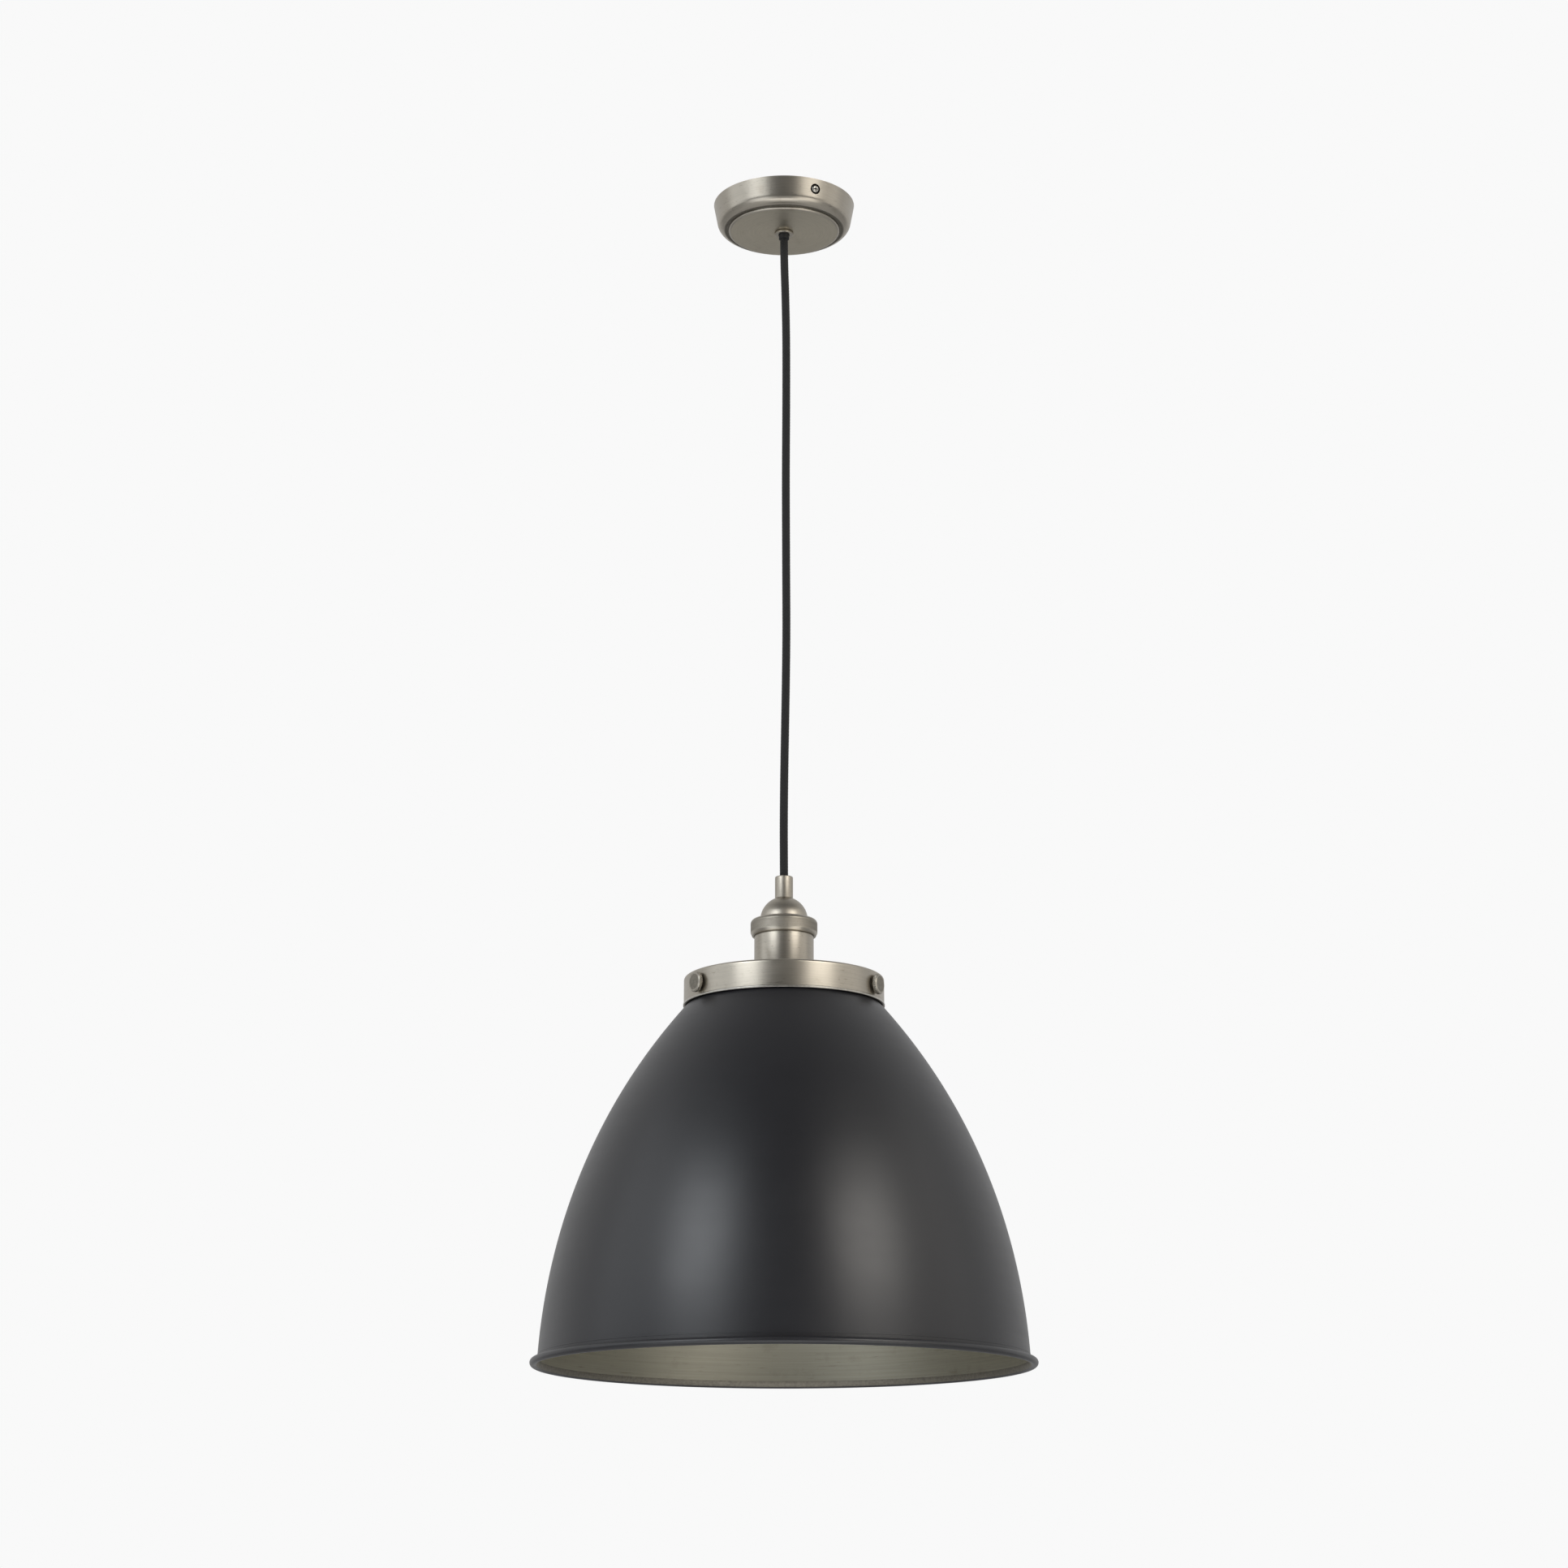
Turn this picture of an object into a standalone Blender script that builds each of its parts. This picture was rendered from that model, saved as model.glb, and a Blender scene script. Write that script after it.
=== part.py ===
"""Pendant ceiling light: a canopy, a fabric-covered flex and a spun bell shade on a screw-cap lampholder.

Metres, +Z up. The origin is the middle of the bracket's top face, which lies against the ceiling. The
light hangs below it along -Z, and its front faces -Y. Azimuths are in degrees from the front, towards +X.
"""

import math

import bmesh
import bpy
from mathutils import Vector

MM = 0.001

# Clearances
GAP = 0.3 * MM  # between faces that touch
FLEX_PLAY = 0.35 * MM  # round the flex in a bore

# Canopy: a tapered cup whose open side lies against the ceiling
CANOPY_RADIUS = 57.7 * MM
CANOPY_DEPTH = 23.7 * MM
CANOPY_WALL = 1.2 * MM
CANOPY_TAPER = 0.19  # radius lost per depth
CANOPY_SHOULDER = 8.0 * MM
CANOPY_STEP = 2.0 * MM  # how far the disc stands below the shoulder
CANOPY_DISC_INSET = 1.35 * MM  # the disc's edge, inside the shoulder's centre
CANOPY_GROOVE_WIDTH = 2.4 * MM
CANOPY_SCREW_AZIMUTH = 27.0
CANOPY_SCREW_DROP = 0.35 * CANOPY_DEPTH
CANOPY_SCREW_DIP = math.atan(CANOPY_TAPER)  # square to the tapered wall
SEAT_RADIUS = 4.3 * MM
SEAT_RIM = 1.2 * MM
SEAT_DEPTH = 1.6 * MM
SEAT_FLOOR = 1.6 * MM

# Screws
SCREW_RADIUS = 1.75 * MM
SCREW_HEAD_RADIUS = 2.9 * MM
SCREW_HEAD_HEIGHT = 1.9 * MM
SCREW_LENGTH = 8.0 * MM
SMALL_SCREW_RADIUS = 1.5 * MM
SMALL_HEAD_RADIUS = 2.7 * MM
SMALL_HEAD_HEIGHT = 1.8 * MM

# Ceiling bracket
STRAP_THICKNESS = 2.0 * MM
STRAP_WIDTH = 24.0 * MM
TAB_WIDTH = 14.0 * MM
TAB_DROP = CANOPY_SCREW_DROP + 5.2 * MM
SLOT_WIDTH = 6.6 * MM
SLOT_LENGTH = 14.0 * MM
SLOT_CENTRE = 31.0 * MM
EAR_WIDTH = 18.0 * MM
EAR_REACH = 36.0 * MM
EARTH_SCREW_PLACE = -15.0 * MM

# Terminal block
BLOCK_SIZE = Vector((24.0, 16.0, 12.0)) * MM
BLOCK_CENTRE = 26.0 * MM  # from the axis
BLOCK_WAY = 5.5 * MM  # each way from the middle
BLOCK_BORE = 1.9 * MM

# Flex and its cores
FLEX_RADIUS = 3.25 * MM
CORE_RADIUS = 0.34 * FLEX_RADIUS
CORE_PLACE = 0.54 * FLEX_RADIUS  # from the flex's middle
FLEX_FREE_LENGTH = 538.9 * MM
BEND_LENGTH = 6.0 * MM  # the short stretch that bends in each mouth

# Gland in the canopy
GLAND_FLANGE_RADIUS = 7.7 * MM
GLAND_FLANGE = 2.0 * MM
GLAND_TUBE_WALL = 0.9 * MM
GLAND_TUBE_RISE = 5.0 * MM  # above the canopy's floor
BUSHING_WALL = 0.65 * MM
BUSHING_LIP = 0.9 * MM
BUSHING_NOSE = 3.5 * MM  # below the flange
GLAND_NUT_HEIGHT = 3.0 * MM
NUT_WALL = 1.4 * MM
GRIP_RADIUS = 8.0 * MM
GRIP_HEIGHT = 6.0 * MM

# Lampholder
SLEEVE_RADIUS = 23.0 * MM
DOME_RADIUS = SLEEVE_RADIUS - 4.5 * MM
RING_RADIUS = SLEEVE_RADIUS + 2.9 * MM
FERRULE_RADIUS = FLEX_RADIUS + 3.75 * MM
FERRULE_LENGTH = 17.6 * MM
SPIGOT_WALL = 1.3 * MM
SPIGOT_LENGTH = 7.0 * MM
DOME_WALL = 1.5 * MM
DOME_FOOT = 1.5 * MM  # straight stretch under the ball
HOLDER_NUT_HEIGHT = 3.0 * MM
RING_HEIGHT = 13.2 * MM
RING_LIP = 1.5 * MM
SLEEVE_WALL = 1.2 * MM
SLEEVE_LENGTH = 42.9 * MM
INSULATOR_NECK = SLEEVE_RADIUS - 2.9 * MM
INSULATOR_REACH = 11.0 * MM  # below the gallery's top
INSULATOR_DROP = 2.8 * MM  # from the sleeve's top to the insulator's
INSULATOR_HEAD = 13.0 * MM
SHELL_RADIUS = 14.1 * MM
SHELL_WALL = 0.5 * MM
SHELL_STOP = 6.6 * MM  # from the shell's end to the insulator's
HOLDER_SCREW_PLACE = 0.487 * DOME_RADIUS

# Gallery and its ring nut
GALLERY_RADIUS = 77.2 * MM
GALLERY_HEIGHT = 21.8 * MM
GALLERY_WALL = 1.2 * MM
GALLERY_EDGE = 2.2 * MM
GALLERY_LIP = 0.5 * MM
SHADE_NUT_RADIUS = INSULATOR_NECK + 5.9 * MM
SHADE_NUT_HEIGHT = 6.0 * MM

# Thumb screws
THUMB_AZIMUTHS = (-56.5, 63.5, 183.5)
THUMB_DROP = 0.514 * GALLERY_HEIGHT
KNOB_RADIUS = 0.358 * GALLERY_HEIGHT
KNOB_THICKNESS = 3.6 * MM
KNOB_NECK = 3.5 * MM
KNOB_STANDOFF = 0.8 * MM
THUMB_SHANK = 2.0 * MM

# Shade
SHADE_NECK_PLAY = 1.3 * MM  # between the gallery and the neck
SHADE_NECK_RADIUS = GALLERY_RADIUS - GALLERY_WALL - SHADE_NECK_PLAY
SHADE_NECK_RISE = GALLERY_HEIGHT - 4.8 * MM  # inside the gallery
SHADE_HEIGHT = 269.0 * MM  # from the gallery's lower edge to the bead
SHADE_RIM_RADIUS = 184.26 * MM
SHADE_WALL = 1.0 * MM
BEAD_RADIUS = 2.75 * MM
# handles of the bell's curve, as shares of its height and of its growth in radius
BELL_UPPER = (0.362, 0.780)
BELL_LOWER = (0.755, 0.964)

# Bulb, a pear of the usual size with a 27 mm screw cap
BULB_RADIUS = 30.0 * MM
BULB_LENGTH = 104.0 * MM
BULB_GLASS = 0.8 * MM
CAP_RADIUS = SHELL_RADIUS - SHELL_WALL - 0.5 * MM
CAP_MOUTH = CAP_RADIUS - 2.7 * MM  # at the contact end
CAP_WALL = 0.4 * MM
CAP_LENGTH = 22.0 * MM

# Levels, worked down from the ceiling
CANOPY_FLOOR = -CANOPY_DEPTH
CANOPY_INSIDE = CANOPY_FLOOR + CANOPY_WALL
FLANGE_TOP = CANOPY_FLOOR - GAP
FLANGE_BOTTOM = FLANGE_TOP - GLAND_FLANGE
GLAND_MOUTH = FLANGE_BOTTOM - BUSHING_NOSE
GLAND_TUBE_TOP = CANOPY_INSIDE + GLAND_TUBE_RISE
BUSHING_TOP = GLAND_TUBE_TOP + GAP + BUSHING_LIP
GRIP_BOTTOM = BUSHING_TOP + GAP
GRIP_TOP = GRIP_BOTTOM + GRIP_HEIGHT
FLEX_TOP = GRIP_TOP + GAP
FERRULE_TOP = GLAND_MOUTH - FLEX_FREE_LENGTH
FERRULE_BOTTOM = FERRULE_TOP - FERRULE_LENGTH
SPIGOT_BOTTOM = FERRULE_BOTTOM - SPIGOT_LENGTH
DOME_TOP = FERRULE_BOTTOM - GAP
DOME_FLAT = FERRULE_RADIUS + 0.75 * MM
DOME_CENTRE = DOME_TOP - math.sqrt(DOME_RADIUS**2 - DOME_FLAT**2)
FLANGE_SHELF = DOME_CENTRE - DOME_FOOT
DOME_BOTTOM = FLANGE_SHELF - DOME_WALL
RING_TOP = FLANGE_SHELF + GAP + RING_LIP
RING_BOTTOM = RING_TOP - RING_HEIGHT
SLEEVE_TOP = DOME_BOTTOM - GAP
SLEEVE_BOTTOM = SLEEVE_TOP - SLEEVE_LENGTH
INSULATOR_TOP = SLEEVE_TOP - INSULATOR_DROP
INSULATOR_SHELF = SLEEVE_BOTTOM + SLEEVE_WALL + GAP
GALLERY_TOP = SLEEVE_BOTTOM - GAP
GALLERY_BOTTOM = GALLERY_TOP - GALLERY_HEIGHT
INSULATOR_BOTTOM = GALLERY_TOP - INSULATOR_REACH
SOCKET_TOP = INSULATOR_TOP - INSULATOR_HEAD
SHELL_TOP = SOCKET_TOP - GAP
SHELL_BOTTOM = INSULATOR_BOTTOM + SHELL_STOP
SHADE_BOTTOM = GALLERY_BOTTOM - SHADE_HEIGHT
THUMB_LEVEL = GALLERY_TOP - THUMB_DROP
CONTACT_DROP = 4.2 * MM
BULB_TOP = SOCKET_TOP - CONTACT_DROP - GAP
TWIST_LEVEL = (GLAND_MOUTH + FERRULE_TOP) / 2

# Radii that follow from what they fit
FLEX_BORE = FLEX_RADIUS + FLEX_PLAY
BUSHING_RADIUS = FLEX_BORE + BUSHING_WALL
GLAND_BORE = BUSHING_RADIUS + GAP
GLAND_TUBE_RADIUS = GLAND_BORE + GLAND_TUBE_WALL
SPIGOT_RADIUS = FLEX_BORE + SPIGOT_WALL
NECK_HOLE = INSULATOR_NECK + GAP
FLANGE_RADIUS = SLEEVE_RADIUS - 0.6 * MM
RING_BORE = SLEEVE_RADIUS + GAP
SOCKET_BORE = SHELL_RADIUS + GAP

THROUGH = 5.0 * MM  # how far a cutter passes the thin wall that it cuts

ROUND = 36  # segments round the large turned pieces
MEDIUM = 24
CAP_SEGMENTS = 16
SMALL = 12


# ---------------------------------------------------------------- materials


def material(name, colour, metallic, roughness, alpha=1.0):
    """A Principled material."""
    made = bpy.data.materials.new(name)
    made.use_nodes = True
    shader = made.node_tree.nodes["Principled BSDF"]
    shader.inputs["Base Color"].default_value = (*colour, 1.0)
    shader.inputs["Metallic"].default_value = metallic
    shader.inputs["Roughness"].default_value = roughness
    shader.inputs["Alpha"].default_value = alpha
    made.diffuse_color = (*colour, alpha)
    return made


def make_materials():
    """Every finish on the light, by name."""
    return {
        "pewter": material("pewter", (0.42, 0.39, 0.34), 1.0, 0.35),
        "charcoal": material("charcoal", (0.035, 0.036, 0.040), 0.0, 0.42),
        "fabric": material("fabric", (0.015, 0.015, 0.017), 0.0, 0.9),
        "zinc": material("zinc", (0.60, 0.61, 0.62), 1.0, 0.40),
        "brass": material("brass", (0.70, 0.52, 0.25), 1.0, 0.35),
        "plastic": material("plastic", (0.02, 0.02, 0.022), 0.0, 0.45),
        "nylon": material("nylon", (0.80, 0.79, 0.75), 0.0, 0.50),
        "porcelain": material("porcelain", (0.85, 0.84, 0.80), 0.0, 0.25),
        "core_brown": material("core_brown", (0.20, 0.08, 0.03), 0.0, 0.50),
        "core_blue": material("core_blue", (0.03, 0.12, 0.45), 0.0, 0.50),
        "core_green": material("core_green", (0.15, 0.40, 0.08), 0.0, 0.50),
        "glass": material("glass", (0.90, 0.92, 0.92), 0.0, 0.05, alpha=0.35),
        "filament": material("filament", (0.85, 0.60, 0.25), 0.0, 0.50),
    }


# ---------------------------------------------------------------- outlines in the (radius, height) plane


def arc(centre, radius, start, end, steps):
    """Points on an arc, with angles in degrees from +radius towards +Z."""
    angles = [math.radians(start + (end - start) * k / steps) for k in range(steps + 1)]
    return [(centre[0] + radius * math.cos(a), centre[1] + radius * math.sin(a)) for a in angles]


def bezier(start, first, second, end, steps):
    """Points along a cubic curve."""
    points = []
    for k in range(steps + 1):
        t = k / steps
        weights = ((1 - t) ** 3, 3 * t * (1 - t) ** 2, 3 * t * t * (1 - t), t**3)
        corners = (start, first, second, end)
        points.append(tuple(sum(w * c[i] for w, c in zip(weights, corners)) for i in (0, 1)))
    return points


def offset(outline, distance):
    """The outline moved to its left, seen along its run, by a distance."""
    moved = []
    last = len(outline) - 1
    for k, point in enumerate(outline):
        before = Vector(point) - Vector(outline[max(k - 1, 0)])
        after = Vector(outline[min(k + 1, last)]) - Vector(point)
        ways = [way.normalized() for way in (before, after) if way.length > 0]
        sides = [Vector((-way.y, way.x)) for way in ways]
        middle = sum(sides, Vector((0, 0))).normalized()
        shift = distance / middle.dot(sides[0])
        moved.append((point[0] + middle.x * shift, point[1] + middle.y * shift))
    return moved


def shell(outline, wall):
    """A closed outline: the outer one, and the one that lies a wall to its left."""
    return outline + offset(outline, wall)[::-1]


# ---------------------------------------------------------------- solids


def new_object(name, mesh, finish, parent=None):
    """An object for a mesh, with its finish, held by a parent empty."""
    if finish:
        mesh.materials.append(finish)
    made = bpy.data.objects.new(name, mesh)
    bpy.context.collection.objects.link(made)
    if parent:
        hold(made, parent)
    return made


def hold(child, parent):
    """Parent the child, whose place stays the one it has in the world."""
    child.parent = parent
    child.matrix_parent_inverse = parent.matrix_basis.inverted()


def finish_mesh(name, bm):
    """A mesh with its faces pointing out and its round parts smooth."""
    bmesh.ops.remove_doubles(bm, verts=bm.verts, dist=1e-7)
    bmesh.ops.recalc_face_normals(bm, faces=bm.faces)
    if bm.calc_volume(signed=True) < 0:
        bmesh.ops.reverse_faces(bm, faces=bm.faces)
    mesh = bpy.data.meshes.new(name)
    bm.to_mesh(mesh)
    bm.free()
    mesh.shade_smooth()
    mesh.set_sharp_from_angle(angle=math.radians(35))
    return mesh


def turned_mesh(name, outline, segments):
    """A solid of revolution about Z. An outline that starts or ends on the axis is left open there."""
    bm = bmesh.new()
    points = [bm.verts.new((radius, 0.0, height)) for radius, height in outline]
    edges = [bm.edges.new(pair) for pair in zip(points, points[1:])]
    if outline[0][0] > 0 or outline[-1][0] > 0:
        edges.append(bm.edges.new((points[-1], points[0])))
    bmesh.ops.spin(
        bm,
        geom=points + edges,
        cent=(0, 0, 0),
        axis=(0, 0, 1),
        angle=2 * math.pi,
        steps=segments,
        use_merge=True,
    )
    return finish_mesh(name, bm)


def turned(name, outline, finish, parent, segments=SMALL):
    """A turned piece on the light's axis."""
    return new_object(name, turned_mesh(name, outline, segments), finish, parent)


def prism_mesh(name, corners, bottom, top):
    """A flat outline in the XY plane, extruded from bottom to top."""
    bm = bmesh.new()
    face = bm.faces.new([bm.verts.new((x, y, bottom)) for x, y in corners])
    sides = bmesh.ops.extrude_face_region(bm, geom=[face])
    raised = [v for v in sides["geom"] if isinstance(v, bmesh.types.BMVert)]
    bmesh.ops.translate(bm, verts=raised, vec=(0, 0, top - bottom))
    return finish_mesh(name, bm)


def polygon(sides, radius, centre=(0.0, 0.0)):
    """Corners of a regular polygon."""
    turns = [2 * math.pi * (k + 0.5) / sides for k in range(sides)]
    return [(centre[0] + radius * math.cos(t), centre[1] + radius * math.sin(t)) for t in turns]


def rectangle(low, high):
    """Corners of a rectangle in the XY plane."""
    return [(low[0], low[1]), (high[0], low[1]), (high[0], high[1]), (low[0], high[1])]


def slot_outline(centre, length, width, steps=6):
    """A slot along X with round ends."""
    reach = (length - width) / 2
    right = arc((centre + reach, 0.0), width / 2, -90, 90, steps)
    left = arc((centre - reach, 0.0), width / 2, 90, 270, steps)
    return right + left


def cutter(name, mesh, parent=None):
    """A guide solid that takes material away and isn't part of the light."""
    made = new_object(name, mesh, None, parent)
    made.hide_render = True
    made.display_type = "WIRE"
    return made


def cut(target, tool, operation="DIFFERENCE"):
    """Change the target by the tool with an exact Boolean."""
    change = target.modifiers.new(tool.name, "BOOLEAN")
    change.operation = operation
    change.object = tool
    change.solver = "EXACT"


def face_outward(piece, azimuth, radius, height, dip=0.0, out=0.0):
    """Point a piece's local +Z out from the axis, dipping by an angle, and move it out along that way."""
    angle = math.radians(azimuth)
    outward = Vector((math.sin(angle), -math.cos(angle), 0.0))
    way = outward * math.cos(dip) - Vector((0, 0, math.sin(dip)))
    piece.rotation_mode = "QUATERNION"
    piece.rotation_quaternion = way.to_track_quat("Z", "Y")
    piece.location = outward * radius + Vector((0, 0, height)) + way * out


def empty(name, location=(0, 0, 0), turn=0.0):
    """A parent for the pieces that move together, at their joint's place."""
    made = bpy.data.objects.new(name, None)
    bpy.context.collection.objects.link(made)
    made.location = location
    made.rotation_euler = (0, 0, math.radians(turn))
    return made


def pan_screw_outline(radius, head_radius, head_height, length):
    """A screw whose head's seat is at height 0, with the head above it."""
    crown = bezier(
        (head_radius, 0.45 * head_height),
        (head_radius, 0.8 * head_height),
        (0.75 * head_radius, head_height),
        (0.5 * head_radius, head_height),
        3,
    )
    shank = [(0.0, -length), (radius, -length), (radius, 0.0), (head_radius, 0.0)]
    return shank + crown + [(0.0, head_height)]


def cross_mesh(name, reach, width, low, high):
    """A plus-shaped prism, for a cross recess."""
    w = width / 2
    arm = [(reach, -w), (reach, w), (w, w)]
    corners = []
    for quarter in range(4):
        for x, y in arm:
            for _ in range(quarter):
                x, y = -y, x
            corners.append((x, y))
    return prism_mesh(name, corners, low, high)


def tube(name, points, radius, finish, parent, resolution=2):
    """A round cord or wire along points, with filled ends."""
    curve = bpy.data.curves.new(name, "CURVE")
    curve.dimensions = "3D"
    curve.bevel_depth = radius
    curve.bevel_resolution = resolution
    curve.use_fill_caps = True
    spline = curve.splines.new("POLY")
    spline.points.add(len(points) - 1)
    for target, point in zip(spline.points, points):
        target.co = (*point, 1.0)
    return new_object(name, curve, finish, parent)


def smooth_route(points, spacing):
    """Points a steady distance apart on a smooth curve through the given ones."""
    ends = [2 * Vector(points[0]) - Vector(points[1]), 2 * Vector(points[-1]) - Vector(points[-2])]
    held = [ends[0]] + [Vector(p) for p in points] + [ends[1]]
    route = [held[1]]
    for a, b, c, d in zip(held, held[1:], held[2:], held[3:]):
        steps = max(1, round((c - b).length / spacing))
        for k in range(1, steps + 1):
            t = k / steps
            place = 2 * b + (c - a) * t
            place += (2 * a - 5 * b + 4 * c - d) * t**2 + (3 * b - a - 3 * c + d) * t**3
            route.append(place / 2)
    return route


# ---------------------------------------------------------------- canopy


def canopy_radius_at(height):
    """The cup's outer radius at a height on its tapered wall."""
    return CANOPY_RADIUS + CANOPY_TAPER * height


def canopy_outline():
    """The cup's outer surface, from its rim at the ceiling to its hole."""
    tilt = math.atan(CANOPY_TAPER)
    shelf = CANOPY_FLOOR + CANOPY_STEP
    wall_end = shelf + CANOPY_SHOULDER * (1 - math.sin(tilt))
    centre = canopy_radius_at(wall_end) - CANOPY_SHOULDER * math.cos(tilt)
    disc = centre - CANOPY_DISC_INSET
    groove = disc + CANOPY_GROOVE_WIDTH
    shoulder_end = math.degrees(math.acos((groove - centre) / CANOPY_SHOULDER))
    shoulder = (centre, shelf + CANOPY_SHOULDER)
    edge = 1.9 * MM
    return (
        [(canopy_radius_at(-GAP), -GAP)]
        + arc(shoulder, CANOPY_SHOULDER, -math.degrees(tilt), -shoulder_end, 4)
        + [(groove - 0.8 * MM, shelf + 0.7 * MM), (disc + 0.3 * MM, shelf + 0.6 * MM)]
        + arc((disc - edge, CANOPY_FLOOR + edge), edge, 0, -90, 2)
        + [(GLAND_TUBE_RADIUS + GAP, CANOPY_FLOOR)]
    )


def make_canopy(finishes, root):
    """The cup, with a dished seat and a hole for each side screw."""
    cup = turned("canopy_cup", shell(canopy_outline()[::-1], CANOPY_WALL), finishes["pewter"], root, ROUND)
    surface = canopy_radius_at(-CANOPY_SCREW_DROP)
    boss_radius = SEAT_RADIUS + SEAT_RIM
    boss_length = SEAT_DEPTH + SEAT_FLOOR - CANOPY_WALL / 2
    for number, name in enumerate(("canopy_screw_front", "canopy_screw_back")):
        azimuth = CANOPY_SCREW_AZIMUTH + 180 * number
        boss = [(0.0, 0.0), (boss_radius, 0.0), (boss_radius, boss_length), (0.0, boss_length)]
        dish = [(0.0, 0.0), (0.6 * SEAT_RADIUS, 0.0), (SEAT_RADIUS, 0.7 * MM)]
        dish += [(SEAT_RADIUS, THROUGH), (0.0, THROUGH)]
        bore = SCREW_RADIUS + GAP
        hole = [(0.0, -THROUGH), (bore, -THROUGH), (bore, THROUGH), (0.0, THROUGH)]
        for part, outline, place, operation in (
            ("boss", boss, -SEAT_DEPTH - SEAT_FLOOR, "UNION"),
            ("dish", dish, -SEAT_DEPTH, "DIFFERENCE"),
            ("hole", hole, -SEAT_DEPTH, "DIFFERENCE"),
        ):
            label = f"{name}_{part}"
            tool = cutter(label, turned_mesh(label, outline, SMALL), root)
            face_outward(tool, azimuth, surface, -CANOPY_SCREW_DROP, CANOPY_SCREW_DIP, place)
            cut(cup, tool, operation)
        screw = turned(
            name,
            pan_screw_outline(SCREW_RADIUS, SCREW_HEAD_RADIUS, SCREW_HEAD_HEIGHT, SCREW_LENGTH),
            finishes["pewter"],
            root,
        )
        label = f"{name}_recess"
        top = SCREW_HEAD_HEIGHT
        cross = cross_mesh(label, 1.7 * MM, 0.7 * MM, top - 1.0 * MM, top + 1.0 * MM)
        recess = cutter(label, cross, root)
        for piece in (screw, recess):
            face_outward(piece, azimuth, surface, -CANOPY_SCREW_DROP, CANOPY_SCREW_DIP, GAP - SEAT_DEPTH)
        cut(screw, recess)
    depth = (SEAT_DEPTH + SEAT_FLOOR) * math.cos(CANOPY_SCREW_DIP)
    return surface - depth - boss_radius * math.sin(CANOPY_SCREW_DIP)


def make_bracket(finishes, root, boss_back):
    """The strap that is screwed to the ceiling, its tabs, and what is fixed on it. Its run is local X."""
    frame = empty("bracket_frame", turn=CANOPY_SCREW_AZIMUTH - 90)
    hold(frame, root)
    tab_face = boss_back - GAP
    strap_end = tab_face - 0.5 * STRAP_THICKNESS

    def placed(name, mesh, operation="UNION"):
        tool = cutter(name, mesh)
        tool.parent = frame
        cut(strap, tool, operation)

    half = STRAP_WIDTH / 2
    narrow = TAB_WIDTH / 2
    inset = 0.5 * MM
    taper = SLOT_CENTRE + SLOT_LENGTH / 2
    ear = EAR_WIDTH / 2
    outline = [(taper, -half), (strap_end, inset - narrow), (strap_end, narrow - inset), (taper, half)]
    outline += [(ear, half), (ear, EAR_REACH), (-ear, EAR_REACH), (-ear, half)]
    outline += [(-x, -y) for x, y in outline[:4]]
    plate = prism_mesh("ceiling_bracket", outline, -STRAP_THICKNESS, 0.0)
    strap = new_object("ceiling_bracket", plate, finishes["zinc"])
    strap.parent = frame
    for side in (-1, 1):
        ends = sorted((side * (tab_face - STRAP_THICKNESS), side * tab_face))
        tab = prism_mesh(f"tab_{side}", rectangle((ends[0], -narrow), (ends[1], narrow)), -TAB_DROP, -inset)
        placed(f"bracket_tab_{side}", tab)
        slot = slot_outline(side * SLOT_CENTRE, SLOT_LENGTH, SLOT_WIDTH)
        placed(f"bracket_slot_{side}", prism_mesh(f"slot_{side}", slot, -THROUGH, THROUGH), "DIFFERENCE")
        bore = SCREW_RADIUS + GAP
        drill = [(0.0, -12.0 * MM), (bore, -12.0 * MM), (bore, 0.0), (0.0, 0.0)]
        tool = cutter(f"bracket_tab_hole_{side}", turned_mesh(f"tab_hole_{side}", drill, SMALL), root)
        azimuth = CANOPY_SCREW_AZIMUTH + (0 if side > 0 else 180)
        surface = canopy_radius_at(-CANOPY_SCREW_DROP)
        face_outward(tool, azimuth, surface, -CANOPY_SCREW_DROP, CANOPY_SCREW_DIP)
        cut(strap, tool)
    fixing = SMALL_SCREW_RADIUS + GAP
    for name, place in (("earth_hole", (EARTH_SCREW_PLACE, 0.0)), ("block_hole", (0.0, BLOCK_CENTRE))):
        placed(name, prism_mesh(name, polygon(SMALL, fixing, place), -THROUGH, THROUGH), "DIFFERENCE")

    earth = hanging_screw("earth_screw", STRAP_THICKNESS - GAP, finishes["brass"], frame)
    earth.location = (EARTH_SCREW_PLACE, 0.0, -STRAP_THICKNESS - GAP)
    make_terminal_block(finishes, frame)
    return frame


def hanging_screw(name, length, finish, frame):
    """A small slotted screw whose head hangs below its seat."""
    outline = [(0.0, length), (SMALL_SCREW_RADIUS, length), (SMALL_SCREW_RADIUS, 0.0)]
    outline += [(SMALL_HEAD_RADIUS, 0.0), (SMALL_HEAD_RADIUS, -0.7 * SMALL_HEAD_HEIGHT)]
    outline += [(0.7 * SMALL_HEAD_RADIUS, -SMALL_HEAD_HEIGHT)]
    outline += [(0.0, -SMALL_HEAD_HEIGHT)]
    screw = new_object(name, turned_mesh(name, outline, SMALL), finish)
    screw.parent = frame
    wide = 2 * SMALL_HEAD_RADIUS
    groove = rectangle((-wide, -0.4 * MM), (wide, 0.4 * MM))
    label = f"{name}_slot"
    low = -SMALL_HEAD_HEIGHT - 1.0 * MM
    tool = cutter(label, prism_mesh(label, groove, low, -SMALL_HEAD_HEIGHT + 0.7 * MM))
    tool.parent = screw
    cut(screw, tool)
    return screw


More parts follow.
